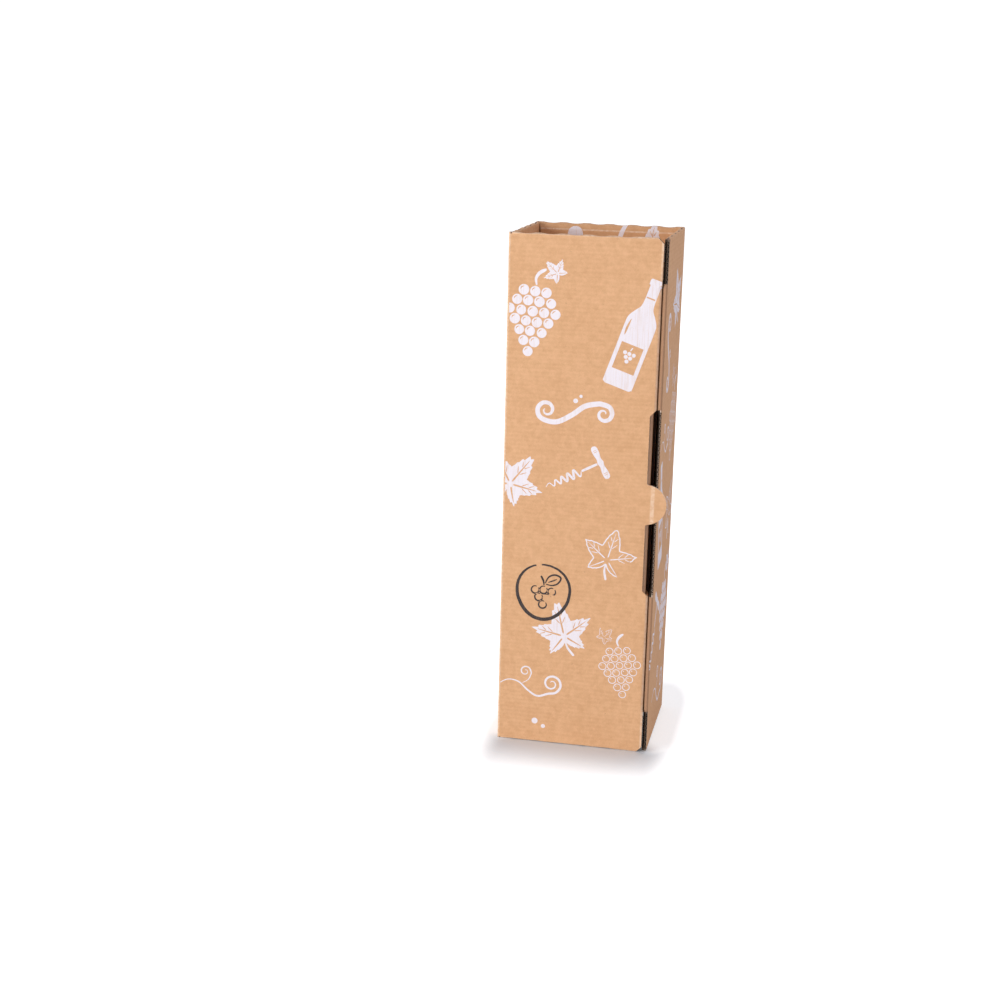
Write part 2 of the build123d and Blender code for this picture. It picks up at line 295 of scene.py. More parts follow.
class PaperEffects:
    """Node groups that the papers and inks of the box share, each built once."""

    FIBRE_BEND = 6 * MM
    SCORE_DROP = 5.3 * MM
    FLAP_DEPTH = 7.5 * MM
    SLOT_START = 50 * MM
    SLOT_FADE = 4 * MM

    def __init__(self) -> None:
        """Builds the groups."""
        self.fibres = self._build_fibres()
        self.flute_lines = self._build_flute_lines()
        self.fold_wear_and_highlight = self._build_fold_wear_and_highlight()
        self.painted_fold_shade = self._build_painted_fold_shade()
        self.gap_shade = self._build_gap_shade()
        self.ink_gaps = self._build_ink_gaps()

    def _build_fibres(self) -> bpy.types.NodeTree:
        """Kraft pulp: cloudy tone, short tangled fibres and a few dark specks.

        Returns:
            The group.
        """
        wires, given, leave = new_group("paper_fibres", {"Speck Share": 0.5}, ["Tone", "Specks", "Height"])
        place = wires.coordinate()
        wander = wires.vector("SUBTRACT", wires.noise(place, 260.0, 1.0, result="Color"), (0.5,) * 3)
        bent = wires.vector("ADD", place, wires.vector("MULTIPLY", wander, (self.FIBRE_BEND,) * 3))
        strands = wires.noise(bent, 900.0, 3.0, 1.2)
        fine = wires.noise(place, 2600.0, 2.0, 0.6)
        tone = wires.times(wires.noise(place, 45.0), 0.12)
        for layer, weight in ((wires.noise(place, 210.0, 4.0, 0.4), 0.36), (strands, 0.32), (fine, 0.20)):
            tone = wires.math("ADD", tone, wires.times(layer, weight))
        cells = wires.add("ShaderNodeTexVoronoi", feature="F1")
        cells.inputs["Scale"].default_value = 420.0
        wires.feed(cells.inputs["Vector"], bent)
        hue = wires.fill(wires.add("ShaderNodeSeparateColor"), cells.outputs["Color"])
        rare = wires.math("SUBTRACT", 1.0, wires.times(given["Speck Share"], 0.1))
        chosen = wires.math("GREATER_THAN", hue.outputs["Red"], rare)
        dot = wires.band(cells.outputs["Distance"], 0.06, 0.2, 1.0, 0.0)
        wires.feed(leave.inputs["Tone"], wires.band(tone, 0.34, 0.66))
        wires.feed(leave.inputs["Specks"], wires.times(chosen, dot))
        wires.feed(leave.inputs["Height"], wires.times(wires.math("ADD", strands, fine), 0.5))
        return wires.tree

    @staticmethod
    def _build_flute_lines() -> bpy.types.NodeTree:
        """Faint ridges where the liner lies on the crests of the flutes, which run level.

        Returns:
            The group.
        """
        wires, given, leave = new_group("flute_lines", {"Pitch": Board.FLUTE_PITCH, "Waver": 0.3}, ["Ridge"])
        place = wires.coordinate()
        _, y, z = wires.parts(place)
        facing_up = wires.math("ABSOLUTE", wires.parts(wires.coordinate("Normal"))[2])
        along = wires.pick(wires.math("GREATER_THAN", facing_up, 0.7), z, y)
        waver = wires.times(wires.noise(place, 40.0), given["Waver"])
        turns = wires.math("ADD", wires.math("DIVIDE", along, given["Pitch"]), waver)
        wave = wires.math("COSINE", wires.times(turns, FULL_TURN))
        height = wires.times(wave, wires.noise(place, 28.0, 3.0))
        wires.feed(leave.inputs["Ridge"], wires.math("MULTIPLY_ADD", height, 0.5, 0.5))
        return wires.tree

    def _build_fold_wear_and_highlight(self) -> bpy.types.NodeTree:
        """Paler paper on the rims, along the upright folds and on the back flap's scored line: scuffed paper,
        with a painted highlight where these edges catch the light.

        Returns:
            The group.
        """
        wires, given, leave = new_group("fold_wear_and_highlight", {"Width": 1.6 * MM, "Break Up": 0.6}, ["Wear"])
        place = wires.coordinate()
        x, y, z = wires.parts(place)
        from_middle = wires.apart(z, PLACES.middle)
        wear_and_highlight_mask = wires.times(
            wires.band(from_middle, PLACES.middle - 1.7 * MM, PLACES.middle - 0.2 * MM),
            wires.band(y, PLACES.front + 3 * MM, PLACES.front + 6 * MM, 1.0, 0.25),
        )
        flat = wires.vector("MULTIPLY", place, (1.0, 1.0, 0.0))
        for corner in ((PLACES.left, PLACES.front), (PLACES.lid_right, PLACES.front),
                       (PLACES.left, PLACES.back), (PLACES.right, PLACES.back)):
            reach = wires.vector("DISTANCE", flat, (*corner, 0.0), result="Value")
            away = wires.math("DIVIDE", reach, given["Width"])
            wear_and_highlight_mask = wires.math("MAXIMUM", wear_and_highlight_mask, wires.band(away, 0.55, 1.3, 0.75, 0.0))
        # Painted highlight along the back flap's scored line.
        scored = wires.times(
            wires.band(wires.apart(from_middle, PLACES.middle - self.SCORE_DROP),
                       0.25 * MM, 0.9 * MM, 1.0, 0.0),
            wires.math("GREATER_THAN", y, PLACES.back - self.FLAP_DEPTH),
            wires.math("LESS_THAN", y, PLACES.back - 3.0 * MM),
            wires.math("LESS_THAN", wires.apart(x, (PLACES.left + PLACES.right) / 2),
                       (PLACES.right - PLACES.left) / 2 - 2.5 * MM),
        )
        patches = wires.band(wires.noise(place, 420.0, 4.0, 0.5), 0.38, 0.62)
        kept = wires.pick(given["Break Up"], 1.0, patches)
        wires.feed(leave.inputs["Wear"], wires.times(wires.math("MAXIMUM", wear_and_highlight_mask, scored), kept))
        return wires.tree

    @staticmethod
    def _build_painted_fold_shade() -> bpy.types.NodeTree:
        """Painted shade on the crest of the rolled-over wall, where the lid's edge shades it, and painted
        shade in the slits that perforate the two side rims.

        Returns:
            The group.
        """
        wires, given, leave = new_group("painted_fold_shade", {"Slit Width": 0.85 * MM}, ["Crushed", "Slits"])
        x, y, z = wires.parts(wires.coordinate())
        from_middle = wires.apart(z, PLACES.middle)
        # Painted shade on the crest beside the lid, reaching farther back near the rims.
        crest = wires.band(y, PLACES.crest + 0.6 * MM, PLACES.crest + 1.5 * MM, 1.0, 0.0)
        end = wires.times(
            wires.band(from_middle, PLACES.middle - 3.5 * MM, PLACES.middle - 2.0 * MM),
            wires.band(y, PLACES.crest + 3.5 * MM, PLACES.crest + 4.5 * MM, 1.0, 0.0),
        )
        behind_tab = wires.math("GREATER_THAN", y, PLACES.crest - 0.1 * MM)
        beside_lid = wires.math("GREATER_THAN", x, PLACES.lid_right)
        crest_shade = wires.math("MAXIMUM", wires.times(crest, 0.8), end)
        wires.feed(leave.inputs["Crushed"], wires.times(crest_shade, behind_tab, beside_lid))
        # Painted shade in the cuts of the slits along the side rims.
        on_rim = wires.band(from_middle, PLACES.middle - 1.6 * MM, PLACES.middle - 1.1 * MM)
        turns = wires.math("DIVIDE", wires.math("SUBTRACT", y, PLACES.front), Board.SLIT_PITCH)
        slit = wires.math("LESS_THAN", wires.math("FRACT", turns), Board.SLIT_SHARE)
        lines = 0.0
        for line in (PLACES.left + Board.RIM_RADIUS, PLACES.right - Board.RIM_RADIUS):
            away = wires.math("DIVIDE", wires.apart(x, line), given["Slit Width"])
            lines = wires.math("MAXIMUM", lines, wires.band(away, 0.6, 1.0, 1.0, 0.0))
        wires.feed(leave.inputs["Slits"], wires.times(lines, slit, on_rim))
        return wires.tree

    def _build_gap_shade(self) -> bpy.types.NodeTree:
        """Painted shade in the gap between the lid's free edge and the rolled-over wall, and on the edges at
        the slots' ends beside the lid.

        Returns:
            The group.
        """
        wires, given, leave = new_group("gap_shade", {"Reach": 12.0 * MM}, ["Behind Lid", "Slot Ends"])
        x, y, z = wires.parts(wires.coordinate())
        behind = wires.math("SUBTRACT", y, PLACES.front + Board.THICKNESS)
        in_reach = wires.math("LESS_THAN", behind, given["Reach"])
        wires.feed(leave.inputs["Behind Lid"], wires.times(
            wires.band(x, PLACES.right - 1.45 * MM, PLACES.right - 1.25 * MM, 1.0, 0.0),
            wires.math("GREATER_THAN", behind, 0.05 * MM), in_reach,
            wires.math("GREATER_THAN", x, PLACES.lid_right - 6 * MM),
        ))
        start = PLACES.middle - self.SLOT_START
        ends = wires.band(wires.apart(z, PLACES.middle), start, start + self.SLOT_FADE)
        beside_lid = wires.math("GREATER_THAN", x, PLACES.lid_right + 0.1 * MM)
        wires.feed(leave.inputs["Slot Ends"], wires.times(ends, in_reach, beside_lid))
        return wires.tree

    @staticmethod
    def _build_ink_gaps() -> bpy.types.NodeTree:
        """Pinholes and level streaks where the ink missed the paper.

        Returns:
            The group.
        """
        wires, given, leave = new_group("ink_gaps", {"Streak Share": 0.5}, ["Bare"])
        place = wires.coordinate()
        streaks = wires.noise(wires.vector("MULTIPLY", place, (14.0, 14.0, 1.0)), 42.0, 3.0, 0.2)
        streaked = wires.times(wires.band(streaks, 0.50, 0.74), given["Streak Share"])
        pinned = wires.band(wires.noise(place, 1700.0), 0.60, 0.74, 0.0, 0.5)
        wires.feed(leave.inputs["Bare"], wires.math("ADD", streaked, pinned, clamp=True))
        return wires.tree


EFFECTS = PaperEffects()


def place_group(wires: Wiring, tree: bpy.types.NodeTree, **values: float) -> bpy.types.Node:
    """Places a shared group in a material, with its own values.

    Args:
        wires: The material's wiring.
        tree: The group.
        **values: Value of each input, its name with _ for a space.

    Returns:
        The group's node.
    """
    node = wires.add("ShaderNodeGroup", node_tree=tree)
    for name, value in values.items():
        node.inputs[name.replace("_", " ")].default_value = value
    return node


def new_material(name: str) -> tuple[bpy.types.Material, Wiring, bpy.types.Node]:
    """Makes a node material.

    Args:
        name: The material's name.

    Returns:
        The material, its wiring and its Principled shader.
    """
    material = bpy.data.materials.new(name)
    material.use_nodes = True
    return material, Wiring(material.node_tree), material.node_tree.nodes["Principled BSDF"]


@dataclass(frozen=True)
class KraftLiner:
    """Smooth outer paper of the board."""

    name: str
    pale: Colour = (0.760, 0.449, 0.243, 1.0)
    deep: Colour = (0.640, 0.354, 0.178, 1.0)
    speck: Colour = (0.34, 0.18, 0.09, 1.0)
    # Paler paper where scuffed, also a painted highlight on rims and folds.
    rubbed_and_highlight: Colour = (0.95, 0.76, 0.58, 1.0)
    # Painted shade on the crest of the rolled-over wall.
    crest_shade: Colour = (0.36, 0.20, 0.12, 1.0)
    # Painted shade in the cuts of the rims' slits.
    slit: Colour = (0.25, 0.15, 0.11, 1.0)
    shaded: Colour = (0.25, 0.13, 0.07, 1.0)
    roughness: float = 0.82
    relief: float = 0.06 * MM
    ridge_relief: float = 0.05 * MM

    def build(self) -> bpy.types.Material:
        """Builds the material.

        Returns:
            The finished material.
        """
        material, wires, shader = new_material(self.name)
        pulp = place_group(wires, EFFECTS.fibres, Speck_Share=0.5)
        lines = place_group(wires, EFFECTS.flute_lines)
        wear_and_highlight = place_group(wires, EFFECTS.fold_wear_and_highlight)
        folds = place_group(wires, EFFECTS.painted_fold_shade)
        tone = wires.math("MULTIPLY_ADD", lines.outputs["Ridge"], -0.36, pulp.outputs["Tone"])
        tone = wires.math("ADD", tone, 0.18, clamp=True)
        colour = wires.blend(tone, self.pale, self.deep)
        shade = place_group(wires, EFFECTS.gap_shade)
        for share, paint in (
            (wires.times(pulp.outputs["Specks"], 0.4), self.speck),
            # Scuffed paper, with a painted highlight on rims and folds.
            (wires.times(wear_and_highlight.outputs["Wear"], 0.7), self.rubbed_and_highlight),
            # Painted shade on the rolled-over wall's crest.
            (folds.outputs["Crushed"], self.crest_shade),
            # Painted shade in the rims' slits.
            (folds.outputs["Slits"], self.slit),
            (wires.times(shade.outputs["Behind Lid"], 0.4), self.shaded),
        ):
            colour = wires.blend(share, colour, paint)
        wires.feed(shader.inputs["Base Color"], colour)
        wires.feed(shader.inputs["Roughness"], wires.band(
            pulp.outputs["Height"], 0.3, 0.7, self.roughness - 0.07, self.roughness + 0.07))
        shader.inputs["Specular IOR Level"].default_value = 0.3
        grain = wires.bump(pulp.outputs["Height"], self.relief, 0.7)
        wires.feed(shader.inputs["Normal"], wires.bump(lines.outputs["Ridge"], self.ridge_relief, 0.8, grain))
        return material


@dataclass(frozen=True)
class CutEdge:
    """Raw edge of the board: two liners with the waved fluting between them, and painted shade in the hollows
    between them.

    The edge map gives the turns of the flutes along the edge and the share of the thickness across it.
    """

    name: str
    paper: Colour = (0.86, 0.68, 0.53, 1.0)
    web: Colour = (0.62, 0.45, 0.32, 1.0)
    opening_shade: Colour = (0.020, 0.012, 0.008, 1.0)

    def build(self) -> bpy.types.Material:
        """Builds the material.

        Returns:
            The finished material.
        """
        material, wires, shader = new_material(self.name)
        edge = wires.add("ShaderNodeUVMap", uv_map=FoldedBoard.EDGE_MAP)
        turns, across, _ = wires.parts(edge.outputs["UV"])
        pulp = place_group(wires, EFFECTS.fibres, Speck_Share=0.2)
        wave = wires.math("MULTIPLY_ADD", wires.math("SINE", wires.times(turns, FULL_TURN)), 0.30, 0.5)
        web = wires.band(wires.apart(across, wave), 0.08, 0.15, 1.0, 0.0)
        liner = wires.band(wires.apart(across, 0.5), 0.33, 0.37)
        tone = wires.times(pulp.outputs["Tone"], 0.3)
        # Painted shade in the hollows between the webs.
        colour = wires.blend(web, self.opening_shade, self.web)
        colour = wires.blend(liner, colour, wires.blend(tone, self.paper, self.web))
        # Painted shade: the edges behind the lid and at the slots' ends blend to the same near black.
        shade = place_group(wires, EFFECTS.gap_shade)
        dark = wires.math("MAXIMUM", wires.times(shade.outputs["Behind Lid"], 0.94),
                          wires.times(shade.outputs["Slot Ends"], 0.8))
        colour = wires.blend(dark, colour, self.opening_shade)
        wires.feed(shader.inputs["Base Color"], colour)
        shader.inputs["Roughness"].default_value = 0.95
        shader.inputs["Specular IOR Level"].default_value = 0.1
        return material


@dataclass(frozen=True)
class FlutingShade:
    """Paper of the fluting, seen down its hollows, painted near black as shade."""

    name: str
    # Both tones are painted shade for the deep hollows.
    pale_shade: Colour = (0.060, 0.036, 0.022, 1.0)
    deep_shade: Colour = (0.018, 0.011, 0.008, 1.0)

    def build(self) -> bpy.types.Material:
        """Builds the material.

        Returns:
            The finished material.
        """
        material, wires, shader = new_material(self.name)
        pulp = place_group(wires, EFFECTS.fibres, Speck_Share=0.2)
        wires.feed(shader.inputs["Base Color"], wires.blend(pulp.outputs["Tone"], self.pale_shade, self.deep_shade))
        shader.inputs["Roughness"].default_value = 0.95
        shader.inputs["Specular IOR Level"].default_value = 0.0
        return material


@dataclass(frozen=True)
class PrintedInk:
    """Thin printed ink through which the paper shows in streaks and pinholes."""

    name: str
    pigment: Colour
    bare: Colour
    streak_share: float

    def build(self) -> bpy.types.Material:
        """Builds the material.

        Returns:
            The finished material.
        """
        material, wires, shader = new_material(self.name)
        gaps = place_group(wires, EFFECTS.ink_gaps, Streak_Share=self.streak_share)
        pulp = place_group(wires, EFFECTS.fibres, Speck_Share=0.1)
        lines = place_group(wires, EFFECTS.flute_lines)
        wires.feed(shader.inputs["Base Color"], wires.blend(gaps.outputs["Bare"], self.pigment, self.bare))
        wires.feed(shader.inputs["Roughness"], wires.band(pulp.outputs["Height"], 0.3, 0.7, 0.62, 0.76))
        shader.inputs["Specular IOR Level"].default_value = 0.35
        wires.feed(shader.inputs["Normal"], wires.bump(lines.outputs["Ridge"], 0.05 * MM, 0.8))
        return material


def deselect_all() -> None:
    """Leaves object mode with nothing selected."""
    if bpy.context.object and bpy.context.object.mode != "OBJECT":
        bpy.ops.object.mode_set(mode="OBJECT")
    bpy.ops.object.select_all(action="DESELECT")


def select_only(*pieces: bpy.types.Object) -> None:
    """Selects these objects alone, and makes the first the active one.

    Args:
        *pieces: The objects.
    """
    deselect_all()
    for piece in pieces:
        piece.select_set(True)
    bpy.context.view_layer.objects.active = pieces[0]


def apply_modifier(piece: bpy.types.Object, kind: str, **settings: object) -> None:
    """Adds a modifier to a piece, sets it and applies it.

    Args:
        piece: The piece.
        kind: Blender's name of the modifier.
        **settings: Properties to set on it.
    """
    select_only(piece)
    bpy.ops.object.modifier_add(type=kind)
    modifier = piece.modifiers[-1]
    for name, value in settings.items():
        setattr(modifier, name, value)
    bpy.ops.object.modifier_apply(modifier=modifier.name)


@dataclass
class FoldedBoard:
    """One folded piece of board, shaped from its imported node."""

    EDGE_MAP = "edge_map"

    node: str
    body: str
    slot: str
    finishes: dict[Face, bpy.types.Material]
    perforated: bool = False
    smooth_angle: float = math.radians(32)
    flat_angle: float = math.radians(1)
    square_angle: float = math.radians(75)
    solid_beyond: float = 2.8 * Board.THICKNESS
    towards_corner: float = 0.8
    web: float = 0.55 * MM
    hollow_end: float = 3 * MM * MM
    slit_drop: float = 1.4 * MM
    slit_step: float = 0.15 * MM

    def build(self) -> bpy.types.Object:
        """Makes the dressed piece that stands for the node.

        Returns:
            The finished piece, riding on its body.
        """
        piece = self._copy_of_node()
        mesh = bmesh.new()
        mesh.from_mesh(piece.data)
        kinds = self._sort_faces(mesh)
        self._map_edges(mesh, kinds)
        if self.perforated:
            self._nick_rims(mesh)
        mesh.to_mesh(piece.data)
        mesh.free()
        select_only(piece)
        bpy.ops.object.shade_smooth_by_angle(angle=self.smooth_angle)
        apply_modifier(piece, "WEIGHTED_NORMAL", keep_sharp=True)
        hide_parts(self.node)
        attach(piece, self.body)
        return piece

    def _copy_of_node(self) -> bpy.types.Object:
        """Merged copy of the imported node's triangles.

        Returns:
            The copy, with a material slot for each kind of face.
        """
        source = frame["nodes"][self.node]
        piece = bpy.data.objects.new(f"{self.node}_board", source.data.copy())
        bpy.context.scene.collection.objects.link(piece)
        piece.data.materials.clear()
        for face in Face:
            piece.data.materials.append(self.finishes[face])
        select_only(piece)
        bpy.ops.object.mode_set(mode="EDIT")
        bpy.ops.mesh.select_all(action="SELECT")
        bpy.ops.mesh.remove_doubles(threshold=0.002 * MM)
        bpy.ops.object.mode_set(mode="OBJECT")
        return piece

    def _sort_faces(self, mesh: bmesh.types.BMesh) -> dict[bmesh.types.BMFace, Face]:
        """Gives the liner, the cut edges and the hollows of the fluting their own finish.

        A flat stretch of liner has the board's thickness behind most of it, a wall of a hollow only a
        sheet of paper, and a cut edge the whole width of its panel, with a square corner beside it.

        Args:
            mesh: The merged board.

        Returns:
            The kind of each face.
        """
        tree = BVHTree.FromBMesh(mesh)
        level = math.cos(self.flat_angle)
        kinds = {}
        for flat in self._regions(mesh, lambda face, other: face.normal.dot(other.normal) > level):
            kinds.update(dict.fromkeys(flat, self._kind(flat, tree)))
        for patch in self._regions(mesh, lambda face, other: kinds[face] is kinds[other]):
            area = sum(face.calc_area() for face in patch)
            if area < self.hollow_end and self._meets_hollow(patch, kinds):
                kinds.update(dict.fromkeys(patch, Face.HOLLOW))
        for face, kind in kinds.items():
            face.material_index = kind.value
        return kinds

    def _kind(self, flat: list[bmesh.types.BMFace], tree: BVHTree) -> Face:
        """Kind of a flat stretch, from what lies straight behind and before it.

        Args:
            flat: Faces of the stretch.
            tree: The whole board, for casting rays.

        Returns:
            The kind.
        """
        depths = []
        for face in flat:
            centre = face.calc_center_median()
            spots = [centre] + [centre.lerp(corner.co, self.towards_corner) for corner in face.verts]
            share = face.calc_area() / len(spots)
            depths += [(self._reach(tree, spot, -face.normal), share) for spot in spots]
        depth = self._middle(depths)
        largest = max(flat, key=lambda face: face.calc_area())
        gap = self._reach(tree, largest.calc_center_median(), largest.normal)
        if depth < self.web and gap < Board.THICKNESS:
            return Face.HOLLOW
        square = any(edge.calc_face_angle(0) > self.square_angle for face in flat for edge in face.edges)
        return Face.CUT_EDGE if depth > self.solid_beyond and square else Face.LINER

    @staticmethod
    def _reach(tree: BVHTree, spot: Vector, direction: Vector) -> float:
        """Distance from a spot to the next surface in a direction."""
        distance = tree.ray_cast(spot + direction * 0.01 * MM, direction)[3]
        return math.inf if distance is None else distance

    @staticmethod
    def _middle(samples: list[tuple[float, float]]) -> float:
        """Value at which half of the samples' weight is reached.

        Args:
            samples: Values with their weights.

        Returns:
            The value.
        """
        left = sum(weight for _, weight in samples) / 2
        for value, weight in sorted(samples):
            left -= weight
            if left <= 0:
                return value
        return math.inf

    @staticmethod
    def _meets_hollow(patch: list[bmesh.types.BMFace], kinds: dict[bmesh.types.BMFace, Face]) -> bool:
        """Whether a hollow of the fluting opens beside a patch."""
        edges = {edge for face in patch for edge in face.edges}
        return any(kinds[other] is Face.HOLLOW for edge in edges for other in edge.link_faces)

    @staticmethod
    def _regions(mesh: bmesh.types.BMesh, alike: Callable) -> list[list[bmesh.types.BMFace]]:
        """Connected groups of faces that are alike.

        Args:
            mesh: The board.
            alike: Says of two faces that meet whether they belong together.

        Returns:
            The groups.
        """
        seen = set()
        regions = []
        for start in mesh.faces:
            if start in seen:
                continue
            seen.add(start)
            region, waiting = [], [start]
            while waiting:
                face = waiting.pop()
                region.append(face)
                for other in (linked for edge in face.edges for linked in edge.link_faces):
                    if other not in seen and alike(face, other):
                        seen.add(other)
                        waiting.append(other)
            regions.append(region)
        return regions

    def _map_edges(self, mesh: bmesh.types.BMesh, kinds: dict[bmesh.types.BMFace, Face]) -> None:
        """Lays the edge map on cut edges without modelled hollows, and leaves the others plain paper.

        Args:
            mesh: The board.
            kinds: The kind of each face.
        """
        layer = mesh.loops.layers.uv.new(self.EDGE_MAP)
        for patch in self._regions(mesh, lambda face, other: kinds[face] is kinds[other]):
            if kinds[patch[0]] is not Face.CUT_EDGE or self._meets_hollow(patch, kinds):
                continue
            rails = {face: rail for face in patch if (rail := self._rail(face, kinds))}
            for face in patch:
                around = (other for edge in face.edges for other in edge.link_faces)
                near = next((other for other in around if other in rails), None)
                rail = rails.get(face) or rails.get(near)
                if rail:
                    self._map_face(face, layer, *rail)

    def _nick_rims(self, mesh: bmesh.types.BMesh) -> None:
        """Drops the perforated side rims a little along each slit, most where the slit starts.

        Args:
            mesh: The board.
        """
        slits = int((PLACES.back - PLACES.front) / Board.SLIT_PITCH) + 1
        for slit in range(slits):
            start = PLACES.front + slit * Board.SLIT_PITCH
            for place in (start - self.slit_step, start, start + Board.SLIT_SHARE * Board.SLIT_PITCH):
                rims = [face for face in mesh.faces if self._on_side_rim(face.calc_center_median())]
                parts = {part for face in rims for part in (face, *face.edges, *face.verts)}
                bmesh.ops.bisect_plane(mesh, geom=list(parts), plane_co=(0, place, 0), plane_no=(0, 1, 0))
        for vertex in mesh.verts:
            share = (vertex.co.y - PLACES.front + 0.001 * MM) / Board.SLIT_PITCH % 1 / Board.SLIT_SHARE
            if share < 1 and self._on_side_rim(vertex.co):
                out = vertex.co.z - PLACES.middle
                height = 1 - (PLACES.middle - abs(out)) / Board.RIM_RADIUS
                vertex.co.z -= math.copysign(self.slit_drop * (1 - share) * height, out)

    @staticmethod
    def _on_side_rim(spot: Vector) -> bool:
        """Whether a spot lies on the rim of the left or the right wall."""
        beside = min(spot.x - PLACES.left, PLACES.right - spot.x) < 2 * Board.RIM_RADIUS
        return beside and abs(spot.z - PLACES.middle) > PLACES.middle - Board.RIM_RADIUS

    @staticmethod
    def _rail(face: bmesh.types.BMFace, kinds: dict) -> tuple[Vector, Vector] | None:
        """Side of the board that a cut edge's face borders on.

        Args:
            face: Face of the cut edge.
            kinds: The kind of each face.

        Returns:
            The side's outward direction and a point on it, or none where no side is beside the face.
        """
        sides = [
            (edge.calc_length(), other.normal.copy(), edge.verts[0].co.copy())
            for edge in face.edges for other in edge.link_faces
            if other is not face and kinds[other] is Face.LINER and abs(other.normal.dot(face.normal)) < 0.5
        ]
        return max(sides, key=lambda side: side[0])[1:] if sides else None

    @staticmethod
    def _map_face(face: bmesh.types.BMFace, layer: bmesh.types.BMLayerItem, outward: Vector,
                  start: Vector) -> None:
        """Maps one face of a cut edge from the side of the board beside it.

        Args:
            face: Face of the cut edge.
            layer: The edge map.
            outward: Direction in which the side faces.
            start: A point on the side.
        """
        along = face.normal.cross(outward).normalized()
        flutes = Vector((1, 0, 0)) if abs(outward.z) > 0.7 else UP.cross(outward).normalized()
        pace = 1.0 if abs(along.dot(flutes)) < 0.7 else 0.02
        leading = max(outward, key=abs)
        for loop in face.loops:
            depth = (start - loop.vert.co).dot(outward) / Board.THICKNESS
            across = depth if leading > 0 else 1 - depth
            turns = (loop.vert.co.x + loop.vert.co.y + loop.vert.co.z) * pace / Board.FLUTE_PITCH
            loop[layer].uv = (turns, across)


@dataclass
class HingeCrease:
    """Skin of the liner that runs uncut from the lid's face round the crease to the left wall."""

    finish: bpy.types.Material
    radius: float = 0.812 * MM
    thickness: float = 0.04 * MM
    on_lid: float = 0.6 * MM
    on_wall: float = 1.8 * MM
    end_margin: float = 1.9 * MM
    columns: int = 18
    rows: int = 60

    def build(self) -> bpy.types.Object:
        """Makes the crease, which runs round from the lid's face to the left wall.

        Returns:
            The finished piece.
        """
        deselect_all()
        bpy.ops.mesh.primitive_grid_add(x_subdivisions=self.columns, y_subdivisions=self.rows, size=2)
        piece = bpy.context.object
        piece.name = "hinge_crease"
        length = self.on_lid + self.radius * FULL_TURN / 4 + self.on_wall
        height = PLACES.top - 2 * self.end_margin
        for vertex in piece.data.vertices:
            run = (1 + vertex.co.x) / 2 * length
            x, y = self._path(run)
            vertex.co = (x, y, self.end_margin + (vertex.co.y + 1) / 2 * height)
        apply_modifier(piece, "SOLIDIFY", thickness=self.thickness, offset=-1.0)
        bpy.ops.object.shade_smooth_by_angle(angle=math.radians(40))
        piece.data.materials.append(self.finish)
        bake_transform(piece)
        return piece

    def _path(self, run: float) -> Point:
        """Place in plan of a point on the crease.

        Args:
            run: How far the point lies along the crease, from the lid to the wall.

        Returns:
            Its X and Y.
        """
        x, y = PLACES.hinge[:2]
        arc = self.radius * FULL_TURN / 4
        if run < self.on_lid:
            return x + self.on_lid - run, y - self.radius
        if run < self.on_lid + arc:
            angle = (run - self.on_lid) / self.radius
            return x - self.radius * math.sin(angle), y - self.radius * math.cos(angle)
        return x - self.radius, y + run - self.on_lid - arc


def flowing(knots: Loop, steps: int = 8) -> Loop:
    """Smooth line through knots.

    Args:
        knots: Points that the line passes.
        steps: Points on the line for each span between two knots.

    Returns:
        The line's points.
    """
    line = []
    padded = [knots[0], *knots, knots[-1]]
    for before, start, end, after in zip(padded, padded[1:], padded[2:], padded[3:]):
        for step in range(steps):
            t = step / steps
            weights = (
                -0.5 * t ** 3 + t ** 2 - 0.5 * t,
                1.5 * t ** 3 - 2.5 * t ** 2 + 1,
                -1.5 * t ** 3 + 2 * t ** 2 + 0.5 * t,
                0.5 * t ** 3 - 0.5 * t ** 2,
            )
            line.append(tuple(
                sum(weight * knot[axis] for weight, knot in zip(weights, (before, start, end, after)))
                for axis in (0, 1)
            ))
    return line + [knots[-1]]


def stroke(line: Loop, thin: float, thick: float, peak: float = 0.5) -> Loop:
    """Outline of a pen stroke that swells along a line.

    Args:
        line: Middle of the stroke.
        thin: Width at both ends.
        thick: Greatest width.
        peak: Share of the line at which the stroke is thickest.

    Returns:
        The closed outline.
    """
    left, right = [], []
    last = len(line) - 1
    for index, (x, y) in enumerate(line):
        before, after = line[max(index - 1, 0)], line[min(index + 1, last)]
        heading = math.atan2(after[1] - before[1], after[0] - before[0])
        share = index / last
        rise = share / peak if share < peak else (1 - share) / (1 - peak)
        half = (thin + (thick - thin) * math.sin(rise * FULL_TURN / 4)) / 2
        left.append((x - half * math.sin(heading), y + half * math.cos(heading)))
        right.append((x + half * math.sin(heading), y - half * math.cos(heading)))
    return left + right[::-1]


def round_loop(x: float, y: float, radius: float, sides: int = 28) -> Loop:
    """Circle as a closed outline."""
    return [
        (x + radius * math.cos(FULL_TURN * side / sides), y + radius * math.sin(FULL_TURN * side / sides))
        for side in range(sides)
    ]


def polar(angle: float, reach: float) -> Point:
    """Point at a clockwise angle in degrees from straight up."""
    return reach * math.sin(math.radians(angle)), reach * math.cos(math.radians(angle))


class Motif(Enum):
    """Printed pictures, drawn in millimetres."""

    BUNCH = "bunch"
    RING_BUNCH = "ring_bunch"
    LEAF = "leaf"
    LEAF_OUTLINE = "leaf_outline"
    TENDRIL = "tendril"
    FLOURISH = "flourish"
    BOTTLE = "bottle"
    CORKSCREW = "corkscrew"
    DOT = "dot"
    BAR = "bar"
    BRUSH_EMBLEM = "brush_emblem"


